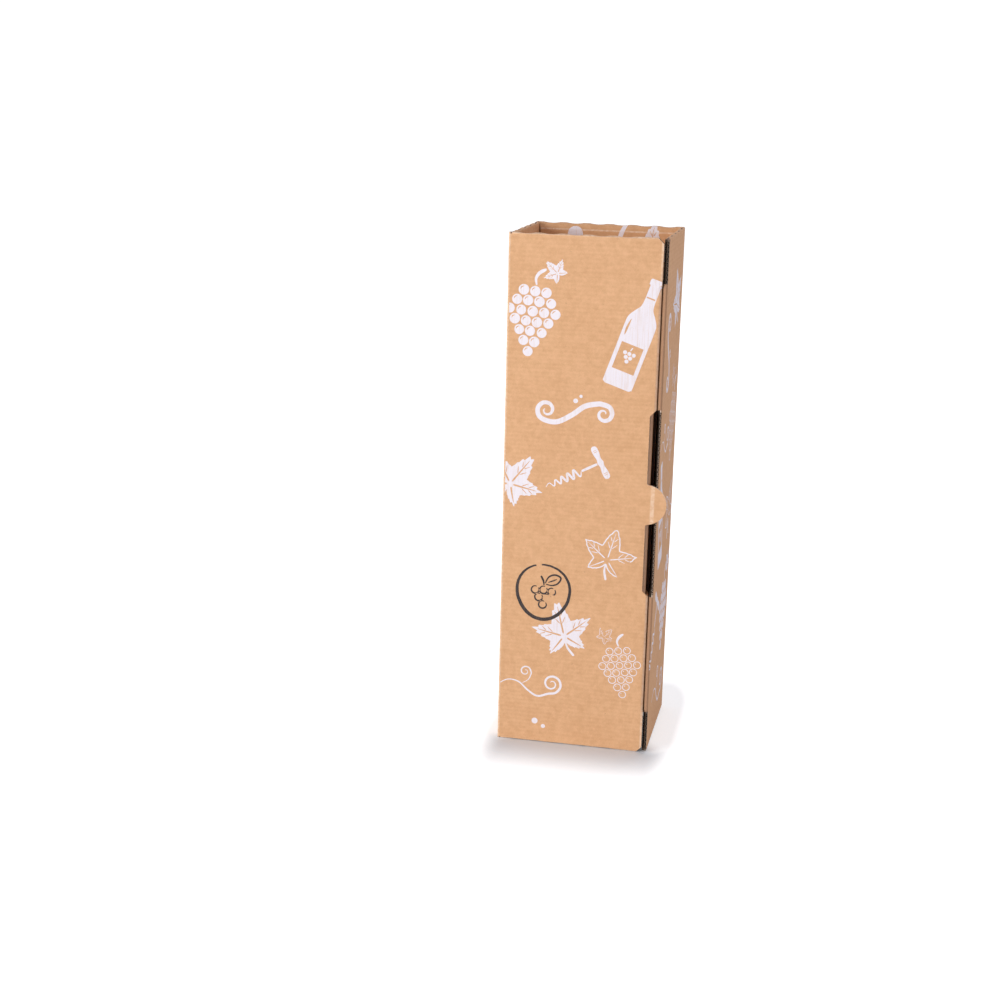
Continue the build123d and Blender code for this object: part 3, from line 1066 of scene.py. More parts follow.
class VineArtist:
    """Draws each motif as layers of closed outlines, in which an outline inside another is a hole."""

    LOBES = (
        (-180.0, 0.15), (-130.0, 0.66), (-99.0, 0.44), (-64.0, 0.93), (-34.0, 0.52), (0.0, 1.06),
        (34.0, 0.52), (64.0, 0.93), (99.0, 0.44), (130.0, 0.66), (180.0, 0.15),
    )
    GRAPE_ROWS = (3, 4, 5, 4, 3, 2, 1)
    GRAPE_PITCH_MM = 8.7
    GRAPE_MM = 4.05
    LEAF_MM = 27.0

    def __init__(self, seed: int = 11) -> None:
        """Keeps a seeded source of the drawing hand's small faults."""
        self.hand = random.Random(seed)

    def draw(self, motif: Motif) -> list[list[Loop]]:
        """Layers of a motif."""
        return getattr(self, f"_{motif.value}")()

    def _grapes(self) -> list[tuple[float, float, float]]:
        """Place and radius of each grape of a hanging bunch.

        Returns:
            X, Y and radius of each grape.
        """
        grapes = []
        for row, count in enumerate(self.GRAPE_ROWS):
            for index in range(count):
                grapes.append((
                    (index - (count - 1) / 2) * self.GRAPE_PITCH_MM + self.hand.uniform(-0.25, 0.25),
                    -row * self.GRAPE_PITCH_MM * 0.87 + self.hand.uniform(-0.25, 0.25),
                    self.GRAPE_MM * self.hand.uniform(0.93, 1.0),
                ))
        return grapes

    @staticmethod
    def _stem() -> Loop:
        """Stem of a bunch."""
        return stroke(flowing([(0.5, 4.8), (-0.6, 9.5), (1.6, 14.0), (6.4, 17.4)]), 1.1, 2.6, 0.8)

    def _bunch(self) -> list[list[Loop]]:
        """Bunch of solid grapes with a glint in each, and a leaf at its stem.

        Returns:
            The motif's layers.
        """
        solid = []
        for x, y, radius in self._grapes():
            solid.append(round_loop(x, y, radius))
            glint = flowing([(x - 0.62 * radius, y + 0.02 * radius), (x - 0.48 * radius, y + 0.44 * radius),
                             (x - 0.05 * radius, y + 0.64 * radius)], 4)
            solid.append(stroke(glint, 0.15, 0.75))
        return [solid, [self._stem()], self._moved(self._leaf()[0], 15.0, 15.5, 0.42, -52.0)]

    def _ring_bunch(self) -> list[list[Loop]]:
        """Bunch of drawn rings.

        Returns:
            The motif's layers.
        """
        lines = []
        for x, y, radius in self._grapes():
            lines.append(round_loop(x, y, radius))
            lines.append(round_loop(x, y, radius - 0.75))
            lines.append(round_loop(x - 0.32 * radius, y + 0.32 * radius, 0.55, 12))
        return [lines, [self._stem()], self._moved(self._leaf_outline()[0], -13.5, 14.5, 0.42, 48.0)]

    def _leaf_reach(self, angle: float, teeth: float) -> float:
        """Distance from the heart to the border of a leaf whose tip is about 1 away.

        Args:
            angle: Clockwise angle in degrees from the leaf's tip.
            teeth: Depth of the saw teeth.

        Returns:
            The distance.
        """
        for (low, first), (high, second) in zip(self.LOBES, self.LOBES[1:]):
            if angle <= high:
                share = (angle - low) / (high - low)
                rise = share if second > first else 1 - share
                base = min(first, second) + abs(second - first) * rise ** 1.35
                saw = 1 - 2 * abs((angle * 0.118) % 1 - 0.5)
                return base * (1 + teeth * rise * (saw - 0.5))
        return self.LOBES[-1][1]

    def _leaf_border(self, teeth: float, inset: float = 0.0) -> Loop:
        """Border of a vine leaf, or a line inside it.

        Args:
            teeth: Depth of the saw teeth.
            inset: How far inside the border the line runs, on a leaf of length 1.

        Returns:
            The closed outline.
        """
        steps = 270
        border = []
        for step in range(steps):
            angle = -180 + 360 * step / steps
            border.append(polar(angle, self._leaf_reach(angle, teeth)))
        inner = []
        for index, (x, y) in enumerate(border):
            before, after = border[index - 2], border[(index + 2) % steps]
            heading = math.atan2(after[1] - before[1], after[0] - before[0])
            inner.append((
                (x + inset * math.sin(heading)) * self.LEAF_MM,
                (y - inset * math.cos(heading)) * self.LEAF_MM,
            ))
        return inner

    def _veins(self, main: float, side: float) -> list[Loop]:
        """Veins of a leaf, which leave its heart and each other free.

        Args:
            main: Width of the main veins, on a leaf of length 1.
            side: Width of the side veins.

        Returns:
            The outline of each vein.
        """
        veins = []
        for angle, reach in self.LOBES[1:-1:2]:
            bend = angle * 0.04
            knots = [polar(angle - bend, 0.09), polar(angle, 0.45 * reach), polar(angle, 0.86 * reach)]
            line = flowing(knots, 6)
            veins.append(self._scaled(stroke(line, 0.25 * main, main, 0.12)))
            if reach < 0.8:
                continue
            for share, length in ((0.34, 0.22), (0.56, 0.17)):
                root = polar(angle, share * reach)
                for turn in (-40, 40):
                    start, end = polar(angle + turn, 0.05), polar(angle + 0.86 * turn, 0.05 + length)
                    line = [(root[0] + start[0], root[1] + start[1]), (root[0] + end[0], root[1] + end[1])]
                    veins.append(self._scaled(stroke(flowing(line, 4), 0.3 * side, side, 0.2)))
        return veins

    def _scaled(self, loop: Loop) -> Loop:
        """Outline drawn on a leaf of length 1, at the leaf's size."""
        return [(x * self.LEAF_MM, y * self.LEAF_MM) for x, y in loop]

    def _leaf_stalk(self) -> Loop:
        """Curved stalk of a leaf."""
        return self._scaled(stroke(flowing([(0.0, -0.12), (0.03, -0.36), (0.16, -0.62)]), 0.035, 0.07, 0.9))

    def _leaf(self) -> list[list[Loop]]:
        """Solid vine leaf with its veins left open."""
        return [[self._leaf_border(0.16)] + self._veins(0.05, 0.028), [self._leaf_stalk()]]

    def _leaf_outline(self) -> list[list[Loop]]:
        """Vine leaf drawn in line."""
        border = [self._leaf_border(0.05), self._leaf_border(0.05, 0.036)]
        return [border + self._veins(0.036, 0.024), [self._leaf_stalk()]]

    @staticmethod
    def _curl(x: float, y: float, reach: float, start: float, turns: float) -> Loop:
        """Knots of a spiral that winds inwards.

        Args:
            x: Across, of its middle.
            y: Up, of its middle.
            reach: Radius that it starts with.
            start: Angle in degrees that it starts at.
            turns: Turns that it makes, below 0 for clockwise ones.

        Returns:
            The knots.
        """
        count = max(int(abs(turns) * 8), 2)
        knots = []
        for step in range(count + 1):
            share = step / count
            angle = math.radians(start) + FULL_TURN * turns * share
            radius = reach * (1 - 0.80 * share)
            knots.append((x + radius * math.cos(angle), y + radius * math.sin(angle)))
        return knots

    def _tendril(self) -> list[list[Loop]]:
        """Long tendril that ends in a curl, with a side curl.

        Returns:
            The motif's layers.
        """
        main = [(0.0, 0.0), (9.0, 6.5), (19.0, 6.0), (28.0, -0.5), (37.0, -4.5), (46.0, -1.0)]
        main += self._curl(48.5, 8.8, 8.8, -62.0, 1.55)
        side = [(22.6, 5.4), (27.5, 9.4), (29.4, 14.4)] + self._curl(24.2, 16.6, 5.2, 2.0, 1.3)
        return [[stroke(flowing(main, 6), 0.5, 2.1, 0.35)], [stroke(flowing(side, 6), 0.4, 1.3, 0.3)]]

    def _flourish(self) -> list[list[Loop]]:
        """Broad pen stroke that curls up at both ends.

        Returns:
            The motif's layers.
        """
        left = self._curl(9.5, 12.5, 8.5, -95.0, -1.35)[::-1]
        main = left + [(18.0, 3.0), (30.0, 8.5), (40.0, 15.0), (50.0, 16.8)]
        main += self._curl(55.0, 8.6, 7.8, 95.0, -1.25)
        dots = [round_loop(33.0, 19.5, 1.9), round_loop(37.4, 23.0, 1.3)]
        return [[stroke(flowing(main, 6), 0.6, 4.2, 0.5)], dots]

    @staticmethod
    def _bottle() -> list[list[Loop]]:
        """Bottle with an open label and a glint.

        Returns:
            The motif's layers.
        """
        half = [(9.0, 0.0), (10.6, 1.2), (11.0, 3.0), (11.0, 26.0), (11.0, 45.0), (10.4, 50.5),
                (7.6, 55.4), (4.7, 59.5), (3.9, 64.0), (3.8, 70.0), (3.8, 76.0)]
        right = flowing(half, 6) + [(4.7, 76.1), (4.9, 78.6), (4.6, 80.2), (3.9, 80.6)]
        border = right + [(-x, y) for x, y in right[::-1]]
        label = flowing([(-8.2, 12.0), (-8.2, 32.0)], 2) + flowing([(8.2, 32.0), (8.2, 12.0)], 2)
        seal = [(-3.1, 66.5), (-3.1, 67.5), (3.1, 67.5), (3.1, 66.5)]
        glint = stroke(flowing([(-8.2, 37.0), (-8.3, 42.0), (-7.6, 49.0)], 6), 0.3, 1.5)
        grapes = [
            round_loop((index - (count - 1) / 2) * 3.3, 25.4 - row * 2.9, 1.45, 14)
            for row, count in enumerate((3, 2, 1)) for index in range(count)
        ]
        stalk = stroke(flowing([(0, 27.6), (0.8, 30.2)], 4), 0.6, 0.9)
        return [[border, label, seal, glint] + grapes, [stalk]]

    @staticmethod
    def _corkscrew() -> list[list[Loop]]:
        """Corkscrew with a turned handle.

        Returns:
            The motif's layers.
        """
        handle = [(-17.0, 0.0), (-15.4, 2.7), (-10.0, 3.1), (-4.0, 2.2), (0.0, 3.0),
                  (4.0, 2.2), (10.0, 3.1), (15.4, 2.7), (17.0, 0.0)]
        border = flowing(handle, 5) + [(x, -y) for x, y in flowing(handle, 5)[::-1]]
        shaft = stroke([(0.0, -3.6), (0.0, -12.0), (0.0, -20.0)], 2.2, 2.6)
        worm = [(0.0, -20.6)]
        for turn in range(10):
            worm.append((4.3 * (-1) ** turn * (1 - turn * 0.055), -23.6 - turn * 3.35))
        worm.append((0.0, -58.5))
        grooves = [stroke([(x, -1.7), (x, 1.7)], 0.5, 0.7) for x in (-12.6, -11.0, 11.0, 12.6)]
        return [[border] + grooves, [shaft], [stroke(flowing(worm, 8), 0.5, 2.3, 0.25)]]

    @staticmethod
    def _dot() -> list[list[Loop]]:
        """Plain round dot of 5 mm radius."""
        return [[round_loop(0.0, 0.0, 5.0, 40)]]

    @staticmethod
    def _bar() -> list[list[Loop]]:
        """Straight pen stroke, 40 mm long."""
        return [[stroke([(0.0, -20.0 + 4 * step) for step in range(11)], 3.4, 4.4)]]

    def _brush_emblem(self) -> list[list[Loop]]:
        """Hand-drawn ring of brush strokes around a few grapes and a leaf.

        Returns:
            The motif's layers.
        """
        ring = []
        for step in range(73):
            angle = math.radians(98 - 348 * step / 72)
            reach = 22.6 + 0.5 * math.sin(3 * angle) + self.hand.uniform(-0.12, 0.12)
            ring.append((reach * math.cos(angle) * 0.94, reach * math.sin(angle)))
        strokes = [[stroke(ring, 1.3, 2.9, 0.62)]]
        rows = ((-6.6, 0.8), (0.1, 1.4), (6.8, 0.6), (-3.4, -5.0), (3.6, -4.9), (0.2, -10.8))
        grapes = []
        for x, y in rows:
            drawn = [(x + 3.1 * math.cos(a) * self.hand.uniform(0.97, 1.03), y + 3.1 * math.sin(a))
                     for a in (math.radians(70 + 23.5 * step) for step in range(15))]
            grapes.append(stroke(flowing(drawn, 3), 0.7, 1.35, 0.6))
        strokes.append(grapes)
        strokes.append([stroke(flowing([(0.2, 5.4), (-0.6, 9.0), (-2.8, 12.8)]), 0.8, 1.7, 0.8)])
        petal = flowing([(1.0, 7.0), (3.6, 12.6), (8.6, 14.9), (13.2, 13.0),
                         (11.4, 8.4), (6.8, 5.9), (1.7, 6.4)], 6)
        strokes.append([stroke(petal, 0.8, 1.5, 0.4)])
        strokes.append([stroke(flowing([(3.4, 8.0), (7.0, 9.8), (10.2, 11.6)], 6), 0.4, 1.1)])
        return strokes

    @staticmethod
    def _moved(loops: list[Loop], x: float, y: float, scale: float, turn: float) -> list[Loop]:
        """Outlines scaled, turned and set down elsewhere.

        Args:
            loops: The outlines.
            x: Across, of the place that their origin moves to.
            y: Up, of that place.
            scale: Their new size as a share of the old one.
            turn: Clockwise turn in degrees.

        Returns:
            The new outlines.
        """
        sine, cosine = math.sin(math.radians(-turn)), math.cos(math.radians(-turn))
        return [
            [(x + scale * (across * cosine - up * sine), y + scale * (across * sine + up * cosine))
             for across, up in loop]
            for loop in loops
        ]


class PrintPlate:
    """Makes flat meshes of the motifs, each once, in millimetres."""

    LAYER_STEP_MM = 0.003

    def __init__(self, artist: VineArtist) -> None:
        """Presses every motif."""
        self.meshes = {motif: self._press(motif, artist.draw(motif)) for motif in Motif}

    def _press(self, motif: Motif, layers: list[list[Loop]]) -> bpy.types.Mesh:
        """Flat mesh of a motif, its layers a hair's breadth apart.

        Args:
            motif: The motif.
            layers: Its outlines.

        Returns:
            The mesh, facing up.
        """
        whole = bmesh.new()
        for index, loops in enumerate(layers):
            sheet = self._filled(loops)
            sheet.transform(Matrix.Translation((0, 0, index * self.LAYER_STEP_MM)))
            whole.from_mesh(sheet)
            bpy.data.meshes.remove(sheet)
        for face in whole.faces:
            face.normal_update()
            if face.normal.z < 0:
                face.normal_flip()
        mesh = bpy.data.meshes.new(f"motif_{motif.value}")
        whole.to_mesh(mesh)
        whole.free()
        return mesh

    @staticmethod
    def _filled(loops: list[Loop]) -> bpy.types.Mesh:
        """Flat mesh between closed outlines.

        Args:
            loops: The outlines, of which one inside another is a hole.

        Returns:
            The mesh.
        """
        curve = bpy.data.curves.new("outline", "CURVE")
        curve.dimensions = "2D"
        curve.fill_mode = "BOTH"
        for loop in loops:
            spline = curve.splines.new("POLY")
            spline.points.add(len(loop) - 1)
            for spot, (x, y) in zip(spline.points, loop):
                spot.co = (x, y, 0.0, 1.0)
            spline.use_cyclic_u = True
        outline = bpy.data.objects.new("outline", curve)
        bpy.context.scene.collection.objects.link(outline)
        select_only(outline)
        bpy.ops.object.convert(target="MESH")
        sheet = bpy.context.object.data
        bpy.data.objects.remove(bpy.context.object)
        return sheet


@dataclass(frozen=True)
class Placing:
    """Where a motif stands on a panel."""

    motif: Motif
    across_mm: float
    up_mm: float
    scale: float = 1.0
    turn: float = 0.0

    def matrix(self) -> Matrix:
        """Move from the motif's own drawing to its place, turned clockwise in degrees."""
        place = Matrix.Translation((self.across_mm, self.up_mm, 0))
        return place @ Matrix.Rotation(math.radians(-self.turn), 4, "Z") @ Matrix.Scale(self.scale, 4)


@dataclass
class PrintedPanel:
    """One panel's printing: motifs cut off at its borders and laid on its face and folds."""

    name: str
    body: str
    slot: str
    finish: bpy.types.Material
    board: bpy.types.Object
    across: Vector
    up: Vector
    stand: float
    low_mm: Point
    high_mm: Point
    placings: list[Placing]
    folds_mm: tuple[float, ...] = ()
    steps_mm: tuple[float, ...] = ()
    lift: float = 0.03 * MM
    thickness: float = 0.05 * MM

    def build(self, plate: PrintPlate) -> bpy.types.Object:
        """Makes the print.

        Args:
            plate: The pressed motifs.

        Returns:
            The finished film of ink, riding on the panel's body.
        """
        piece = self._laid_out(plate)
        self._cut(piece)
        self._wrap(piece)
        apply_modifier(piece, "SOLIDIFY", thickness=self.thickness, offset=-1.0)
        piece.data.materials.append(self.finish)
        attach(piece, self.body)
        return piece

    def _laid_out(self, plate: PrintPlate) -> bpy.types.Object:
        """All the panel's motifs in one flat piece, in millimetres.

        Args:
            plate: The pressed motifs.

        Returns:
            The flat piece.
        """
        sheets = []
        for placing in self.placings:
            mesh = plate.meshes[placing.motif].copy()
            mesh.transform(placing.matrix())
            sheet = bpy.data.objects.new(self.name, mesh)
            bpy.context.scene.collection.objects.link(sheet)
            sheets.append(sheet)
        select_only(*sheets)
        if len(sheets) > 1:
            bpy.ops.object.join()
        piece = bpy.context.object
        piece.name = self.name
        return piece

    def _cut(self, piece: bpy.types.Object) -> None:
        """Trims the motifs at the panel's borders, and cuts lines into them where they fold.

        Args:
            piece: The flat piece.
        """
        select_only(piece)
        bpy.ops.object.mode_set(mode="EDIT")
        borders = [
            ((self.low_mm[0], 0, 0), (-1, 0, 0), True), ((self.high_mm[0], 0, 0), (1, 0, 0), True),
            ((0, self.low_mm[1], 0), (0, -1, 0), True), ((0, self.high_mm[1], 0), (0, 1, 0), True),
        ]
        borders += [((fold, 0, 0), (1, 0, 0), False) for fold in self.folds_mm]
        borders += [((0, step, 0), (0, 1, 0), False) for step in self.steps_mm]
        for place, direction, clear in borders:
            bpy.ops.mesh.select_all(action="SELECT")
            bpy.ops.mesh.bisect(plane_co=place, plane_no=direction, clear_outer=clear)
        bpy.ops.object.mode_set(mode="OBJECT")

    def _wrap(self, piece: bpy.types.Object) -> None:
        """Lays the flat motifs on the board's face, a hair's breadth above it.

        Args:
            piece: The trimmed piece.

        Raises:
            ValueError: A motif reaches past the board.
        """
        aim = -self.across.cross(self.up)
        tree = BVHTree.FromObject(self.board, bpy.context.evaluated_depsgraph_get())
        for vertex in piece.data.vertices:
            start = (self.across * vertex.co.x + self.up * vertex.co.y) * MM + aim * self.stand
            spot, normal, _, _ = tree.ray_cast(start, aim)
            if spot is None:
                raise ValueError(f"{self.name} misses its board at {tuple(vertex.co)}")
            vertex.co = spot + normal * (self.lift + vertex.co.z * MM)


@dataclass
class BoxPrint:
    """Printing on every panel that carries some."""

    LOW_MM = 2.2
    HIGH_MM = 407.8
    STAND = 6 * MM
    FLAP_UP = Vector((0, 0.6, 0.8))
    FLAP_STAND = -215.7 * MM
    LID_FOLDS_MM = (2.2, 1.7, 1.3, 0.9, 0.55)
    CREST_FOLDS_MM = (0.55, 0.8, 1.15, 1.75)

    white: bpy.types.Material
    black: bpy.types.Material
    carton: bpy.types.Object
    lid: bpy.types.Object

    def build(self) -> list[bpy.types.Object]:
        """Makes the print of every panel.

        Returns:
            The finished films of ink.
        """
        plate = PrintPlate(VineArtist())
        panels = (self._lid_white, self._lid_black, self._right, self._left, self._back, self._flap)
        return [panel().build(plate) for panel in panels]

    def _lid_panel(self, name: str, slot: str, finish: bpy.types.Material, placings: list[Placing],
                   **more: float) -> PrintedPanel:
        """Print on the lid's face, which runs on round the fold at its free edge.

        Args:
            name: The piece's name.
            slot: Name of its material slot in the record, kept on the panel but not used.
            finish: The ink.
            placings: Where the motifs stand.
            **more: Further sizes of the panel.

        Returns:
            The panel.
        """
        edge = PLACES.lid_right / MM
        return PrintedPanel(
            name, "lid", slot, finish, self.lid, Vector((1, 0, 0)), UP, PLACES.front - self.STAND,
            (PLACES.hinge[0] / MM + 0.75, self.LOW_MM), (edge - 0.3, self.HIGH_MM), placings,
            folds_mm=tuple(edge - step for step in self.LID_FOLDS_MM), **more,
        )

    def _wall_panel(self, name: str, across: Vector, face: float, sides_mm: Point,
                    placings: list[Placing], **more: tuple[float, ...]) -> PrintedPanel:
        """White print on an upright wall of the carton.

        Args:
            name: The piece's name.
            across: Direction to the right along the wall, seen from outside.
            face: Place of the wall's face along the line of sight.
            sides_mm: Places that the print is trimmed at on the left and on the right.
            placings: Where the motifs stand.
            **more: Further sizes of the panel.

        Returns:
            The panel.
        """
        return PrintedPanel(
            name, "box", "white_print", self.white, self.carton, across, UP, face - self.STAND,
            (sides_mm[0], self.LOW_MM), (sides_mm[1], self.HIGH_MM), placings, **more,
        )

    def _lid_white(self) -> PrintedPanel:
        """White motifs on the lid."""
        return self._lid_panel("print_white_lid", "white_print", self.white, [
            Placing(Motif.BUNCH, -43, 366, 1.02, 6),
            Placing(Motif.BOTTLE, 22, 296, 1.08, 19),
            Placing(Motif.FLOURISH, -40, 262, 0.98, -4),
            Placing(Motif.LEAF, -59, 214, 1.0, 38),
            Placing(Motif.CORKSCREW, 12, 236, 0.82, 62),
            Placing(Motif.LEAF_OUTLINE, 20, 158, 0.94, 16),
            Placing(Motif.LEAF, -12, 92, 1.02, -14),
            Placing(Motif.RING_BUNCH, 32, 84, 0.80, -7),
            Placing(Motif.TENDRIL, -66, 46, 0.92, 4),
            Placing(Motif.DOT, -34, 18, 0.5),
            Placing(Motif.DOT, -27, 14, 0.34),
        ])

    def _lid_black(self) -> PrintedPanel:
        """Black emblem on the lid, printed over the white."""
        return self._lid_panel("print_black_lid", "black_print", self.black, [
            Placing(Motif.BRUSH_EMBLEM, -30, 128, 1.0, 3),
        ], lift=0.055 * MM)

    def _right(self) -> PrintedPanel:
        """White motifs on the right wall."""
        return self._wall_panel(
            "print_white_right", Vector((0, 1, 0)), -PLACES.right, (PLACES.crest / MM + 0.4, 51.6), [
                Placing(Motif.LEAF, 20, 352, 1.1, -20),
                Placing(Motif.FLOURISH, -38, 350, 1.0, 84),
                Placing(Motif.RING_BUNCH, 28, 276, 1.05, 12),
                Placing(Motif.TENDRIL, -48, 246, 0.9, 4),
                Placing(Motif.BOTTLE, -18, 148, 1.1, -12),
                Placing(Motif.LEAF_OUTLINE, 28, 176, 1.1, 24),
                Placing(Motif.BUNCH, 22, 118, 1.1, 8),
                Placing(Motif.CORKSCREW, -22, 118, 1.1, 34),
                Placing(Motif.TENDRIL, -30, 34, 1.2, 10),
            ], folds_mm=tuple(PLACES.crest / MM + step for step in self.CREST_FOLDS_MM),
        )

    def _left(self) -> PrintedPanel:
        """White motifs on the left wall."""
        return self._wall_panel(
            "print_white_left", Vector((0, -1, 0)), PLACES.left, (-51.6, 51.0), [
                Placing(Motif.LEAF_OUTLINE, -22, 358, 1.05, 18),
                Placing(Motif.FLOURISH, -6, 300, 1.0, 8),
                Placing(Motif.BUNCH, -26, 276, 1.05, -8),
                Placing(Motif.LEAF, 50, 214, 1.0, 38),
                Placing(Motif.BOTTLE, -12, 118, 1.05, 14),
                Placing(Motif.CORKSCREW, -34, 196, 0.8, 8),
                Placing(Motif.RING_BUNCH, 32, 124, 0.95, 10),
                Placing(Motif.TENDRIL, -48, 44, 1.05, -6),
                Placing(Motif.DOT, 30, 46, 0.5),
            ],
        )

    def _back(self) -> PrintedPanel:
        """White motifs on the back."""
        return self._wall_panel(
            "print_white_back", Vector((-1, 0, 0)), -PLACES.back, (-55.0, 62.0), [
                Placing(Motif.BOTTLE, -34, 300, 1.1, -16),
                Placing(Motif.LEAF, 14, 364, 1.1, 22),
                Placing(Motif.TENDRIL, -18, 318, 0.85, -6),
                Placing(Motif.RING_BUNCH, 44, 282, 1.05, -10),
                Placing(Motif.FLOURISH, -48, 226, 1.15, -6),
                Placing(Motif.LEAF_OUTLINE, 38, 178, 1.1, -24),
                Placing(Motif.BUNCH, -28, 180, 1.1, 6),
                Placing(Motif.CORKSCREW, 22, 128, 1.05, -48),
                Placing(Motif.LEAF, 36, 52, 1.1, 12),
                Placing(Motif.TENDRIL, -56, 60, 0.9, 8),
                Placing(Motif.DOT, -8, 34, 0.6),
            ],
        )

    def _flap(self) -> PrintedPanel:
        """White motifs on the flap inside the back rim, seen from the front above."""
        return PrintedPanel(
            "print_white_back_flap", "box", "white_print", self.white, self.carton, Vector((1, 0, 0)),
            self.FLAP_UP, self.FLAP_STAND, (-58.0, 334.0), (50.0, 358.4), [
                Placing(Motif.DOT, -31, 349.5, 1.25),
                Placing(Motif.DOT, -17, 346.0, 0.7),
                Placing(Motif.BAR, 6, 350, 0.8, 24),
                Placing(Motif.LEAF, 30, 336, 0.86, 8),
            ], steps_mm=tuple(350 + 0.5 * step for step in range(17)),
        )


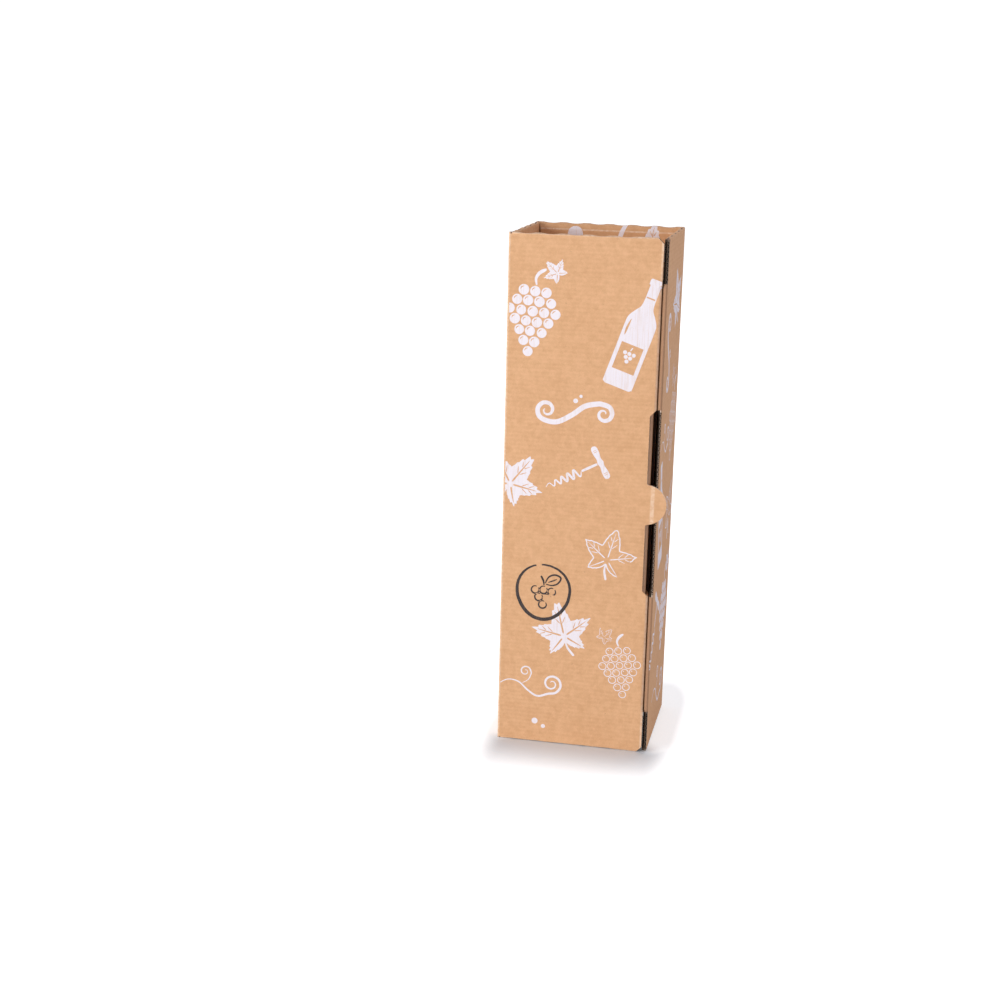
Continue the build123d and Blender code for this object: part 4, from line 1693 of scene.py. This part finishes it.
@dataclass
class Studio:
    """White floor, soft lamps and the camera at the photograph's place."""

    LAMPS = (
        ("key", (-2.0, -2.0, 0.70), 1.5, 65.0, (1.0, 0.985, 0.96)),
        ("right_fill", (2.2, -0.6, 0.3), 1.4, 9.5, (0.98, 0.94, 1.0)),
        ("back_fill", (0.6, 2.4, 1.6), 1.6, 16.0, (1.0, 1.0, 1.0)),
    )

    floor_tone: Colour = (0.74, 0.76, 0.78, 1.0)
    air_tone: Colour = (0.95, 0.93, 1.0, 1.0)
    air_strength: float = 0.50
    seen_strength: float = 1.05
    # Reach and strengths of the floor's painted halo and of its painted light at the sides.
    front_fade: float = 85 * MM
    front_lift: float = 0.75
    side_lift: float = 0.46
    lamp_aim: float = 0.2
    camera_place: Vector = field(default_factory=lambda: Vector((0.1959, -1.2807, 0.5199)))
    camera_aim: Vector = field(default_factory=lambda: Vector((-0.2029, 0.9475, -0.2469)))
    camera_right: Vector = field(default_factory=lambda: Vector((0.9764, 0.2148, 0.0218)))
    focal_pixels: float = 1642.3
    frame_pixels: float = 1000.0
    sensor: float = 36.0

    def build(self) -> None:
        """Sets up the whole studio."""
        self._floor()
        self._world()
        self._lamps()
        self._camera()
        bpy.context.scene.view_settings.view_transform = "Standard"

    def _floor(self) -> None:
        """Round white table that keeps the object's shadow and fades into the backdrop, with a painted grey
        halo round the object's foot and painted light over its shadow at the sides.
        """
        deselect_all()
        bpy.ops.mesh.primitive_circle_add(vertices=96, radius=9.0, fill_type="NGON")
        floor = bpy.context.object
        floor.name = "studio_floor"
        material, wires, shader = new_material("studio_white")
        shader.inputs["Base Color"].default_value = self.floor_tone
        shader.inputs["Roughness"].default_value = 0.9
        shader.inputs["Specular IOR Level"].default_value = 0.0
        path = wires.add("ShaderNodeLightPath")
        place = wires.coordinate()
        outside = wires.vector("SUBTRACT", wires.vector("ABSOLUTE", place), (PLACES.right, PLACES.back, 0.0))
        beyond = wires.vector("MAXIMUM", outside, (0.0, 0.0, 0.0))
        gap = wires.vector("LENGTH", wires.vector("MULTIPLY", beyond, (3.0, 1.0, 1.0)), result="Value")
        # Painted shadow: the camera sees the least glow at the object's foot, a grey halo that turns white
        # farther out.
        glow_past_halo = wires.band(gap, 0.0, self.front_fade, 0.01, self.front_lift)
        # Painted light: more glow at the sides and behind, over the object's cast shadow there.
        beside = wires.math("ADD", wires.parts(outside)[0], wires.parts(place)[1])
        glow_over_side_shadow = wires.band(beside, -PLACES.back - 10 * MM, 30 * MM - PLACES.back, 0.0, self.side_lift)
        lift = wires.math("MAXIMUM", glow_past_halo, glow_over_side_shadow)
        glow = wires.add("ShaderNodeEmission")
        wires.feed(glow.inputs["Strength"], wires.times(path.outputs["Is Camera Ray"], lift))
        total = wires.fill(wires.add("ShaderNodeAddShader"), shader.outputs[0], glow.outputs[0])
        wires.feed(material.node_tree.nodes["Material Output"].inputs["Surface"], total.outputs[0])
        floor.data.materials.append(material)

    def _world(self) -> None:
        """Even pale surroundings, seen as pure white."""
        world = bpy.data.worlds.new("studio_air")
        world.use_nodes = True
        wires = Wiring(world.node_tree)
        background = world.node_tree.nodes["Background"]
        seen = wires.add("ShaderNodeLightPath").outputs["Is Camera Ray"]
        strength = wires.band(seen, 0.0, 1.0, self.air_strength, self.seen_strength)
        wires.feed(background.inputs["Color"], wires.blend(seen, self.air_tone, (1.0, 1.0, 1.0, 1.0)))
        wires.feed(background.inputs["Strength"], strength)
        bpy.context.scene.world = world

    def _lamps(self) -> None:
        """Large soft lamps: a key at the front left, and weaker ones at the right and behind."""
        aim = UP * self.lamp_aim
        for name, place, size, power, colour in self.LAMPS:
            light = bpy.data.lights.new(name, "AREA")
            light.size = size
            light.energy = power
            light.color = colour
            lamp = bpy.data.objects.new(name, light)
            lamp.location = place
            lamp.rotation_mode = "QUATERNION"
            lamp.rotation_quaternion = (aim - Vector(place)).to_track_quat("-Z", "Y")
            bpy.context.scene.collection.objects.link(lamp)

    def _camera(self) -> None:
        """Camera at the photograph's viewing angle."""
        data = bpy.data.cameras.new("photo_camera")
        data.sensor_width = self.sensor
        data.lens = self.sensor * self.focal_pixels / self.frame_pixels
        camera = bpy.data.objects.new("photo_camera", data)
        back = -self.camera_aim.normalized()
        right = (self.camera_right - back * self.camera_right.dot(back)).normalized()
        turned = Matrix((right, back.cross(right), back)).transposed().to_4x4()
        camera.matrix_world = Matrix.Translation(self.camera_place) @ turned
        bpy.context.scene.collection.objects.link(camera)
        bpy.context.scene.camera = camera


def main() -> None:
    """Dresses the carton, piece by piece, and sets up the studio."""
    logging.basicConfig(level=logging.INFO, format="%(name)s: %(message)s")
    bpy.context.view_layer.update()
    outer = {
        Face.LINER: KraftLiner("carton_kraft").build(),
        Face.CUT_EDGE: CutEdge("cut_edge").build(),
        Face.HOLLOW: FlutingShade("fluting_painted_shade").build(),
    }
    unprinted = KraftLiner("insert_kraft", pale=(0.80, 0.53, 0.345, 1.0), deep=(0.69, 0.43, 0.265, 1.0))
    inner = {**outer, Face.LINER: unprinted.build()}
    carton = FoldedBoard("carton", "box", "carton_board", outer, perforated=True).build()
    lid = FoldedBoard("lid", "lid", "lid_board", outer).build()
    insert = FoldedBoard("insert", "box", "insert_board", inner).build()
    crease = HingeCrease(outer[Face.LINER]).build()
    white = PrintedInk("white_ink", pigment=(0.85, 0.80, 0.845, 1.0), bare=(0.70, 0.52, 0.40, 1.0),
                       streak_share=0.35)
    black = PrintedInk("black_ink", pigment=(0.045, 0.036, 0.036, 1.0), bare=(0.30, 0.20, 0.14, 1.0),
                       streak_share=0.22)
    films = BoxPrint(white.build(), black.build(), carton, lid).build()
    for piece in (carton, lid, insert, crease, *films):
        LOG.info("%s has %d faces", piece.name, len(piece.data.polygons))
    Studio().build()
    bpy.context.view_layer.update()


if __name__ == "__main__":
    main()
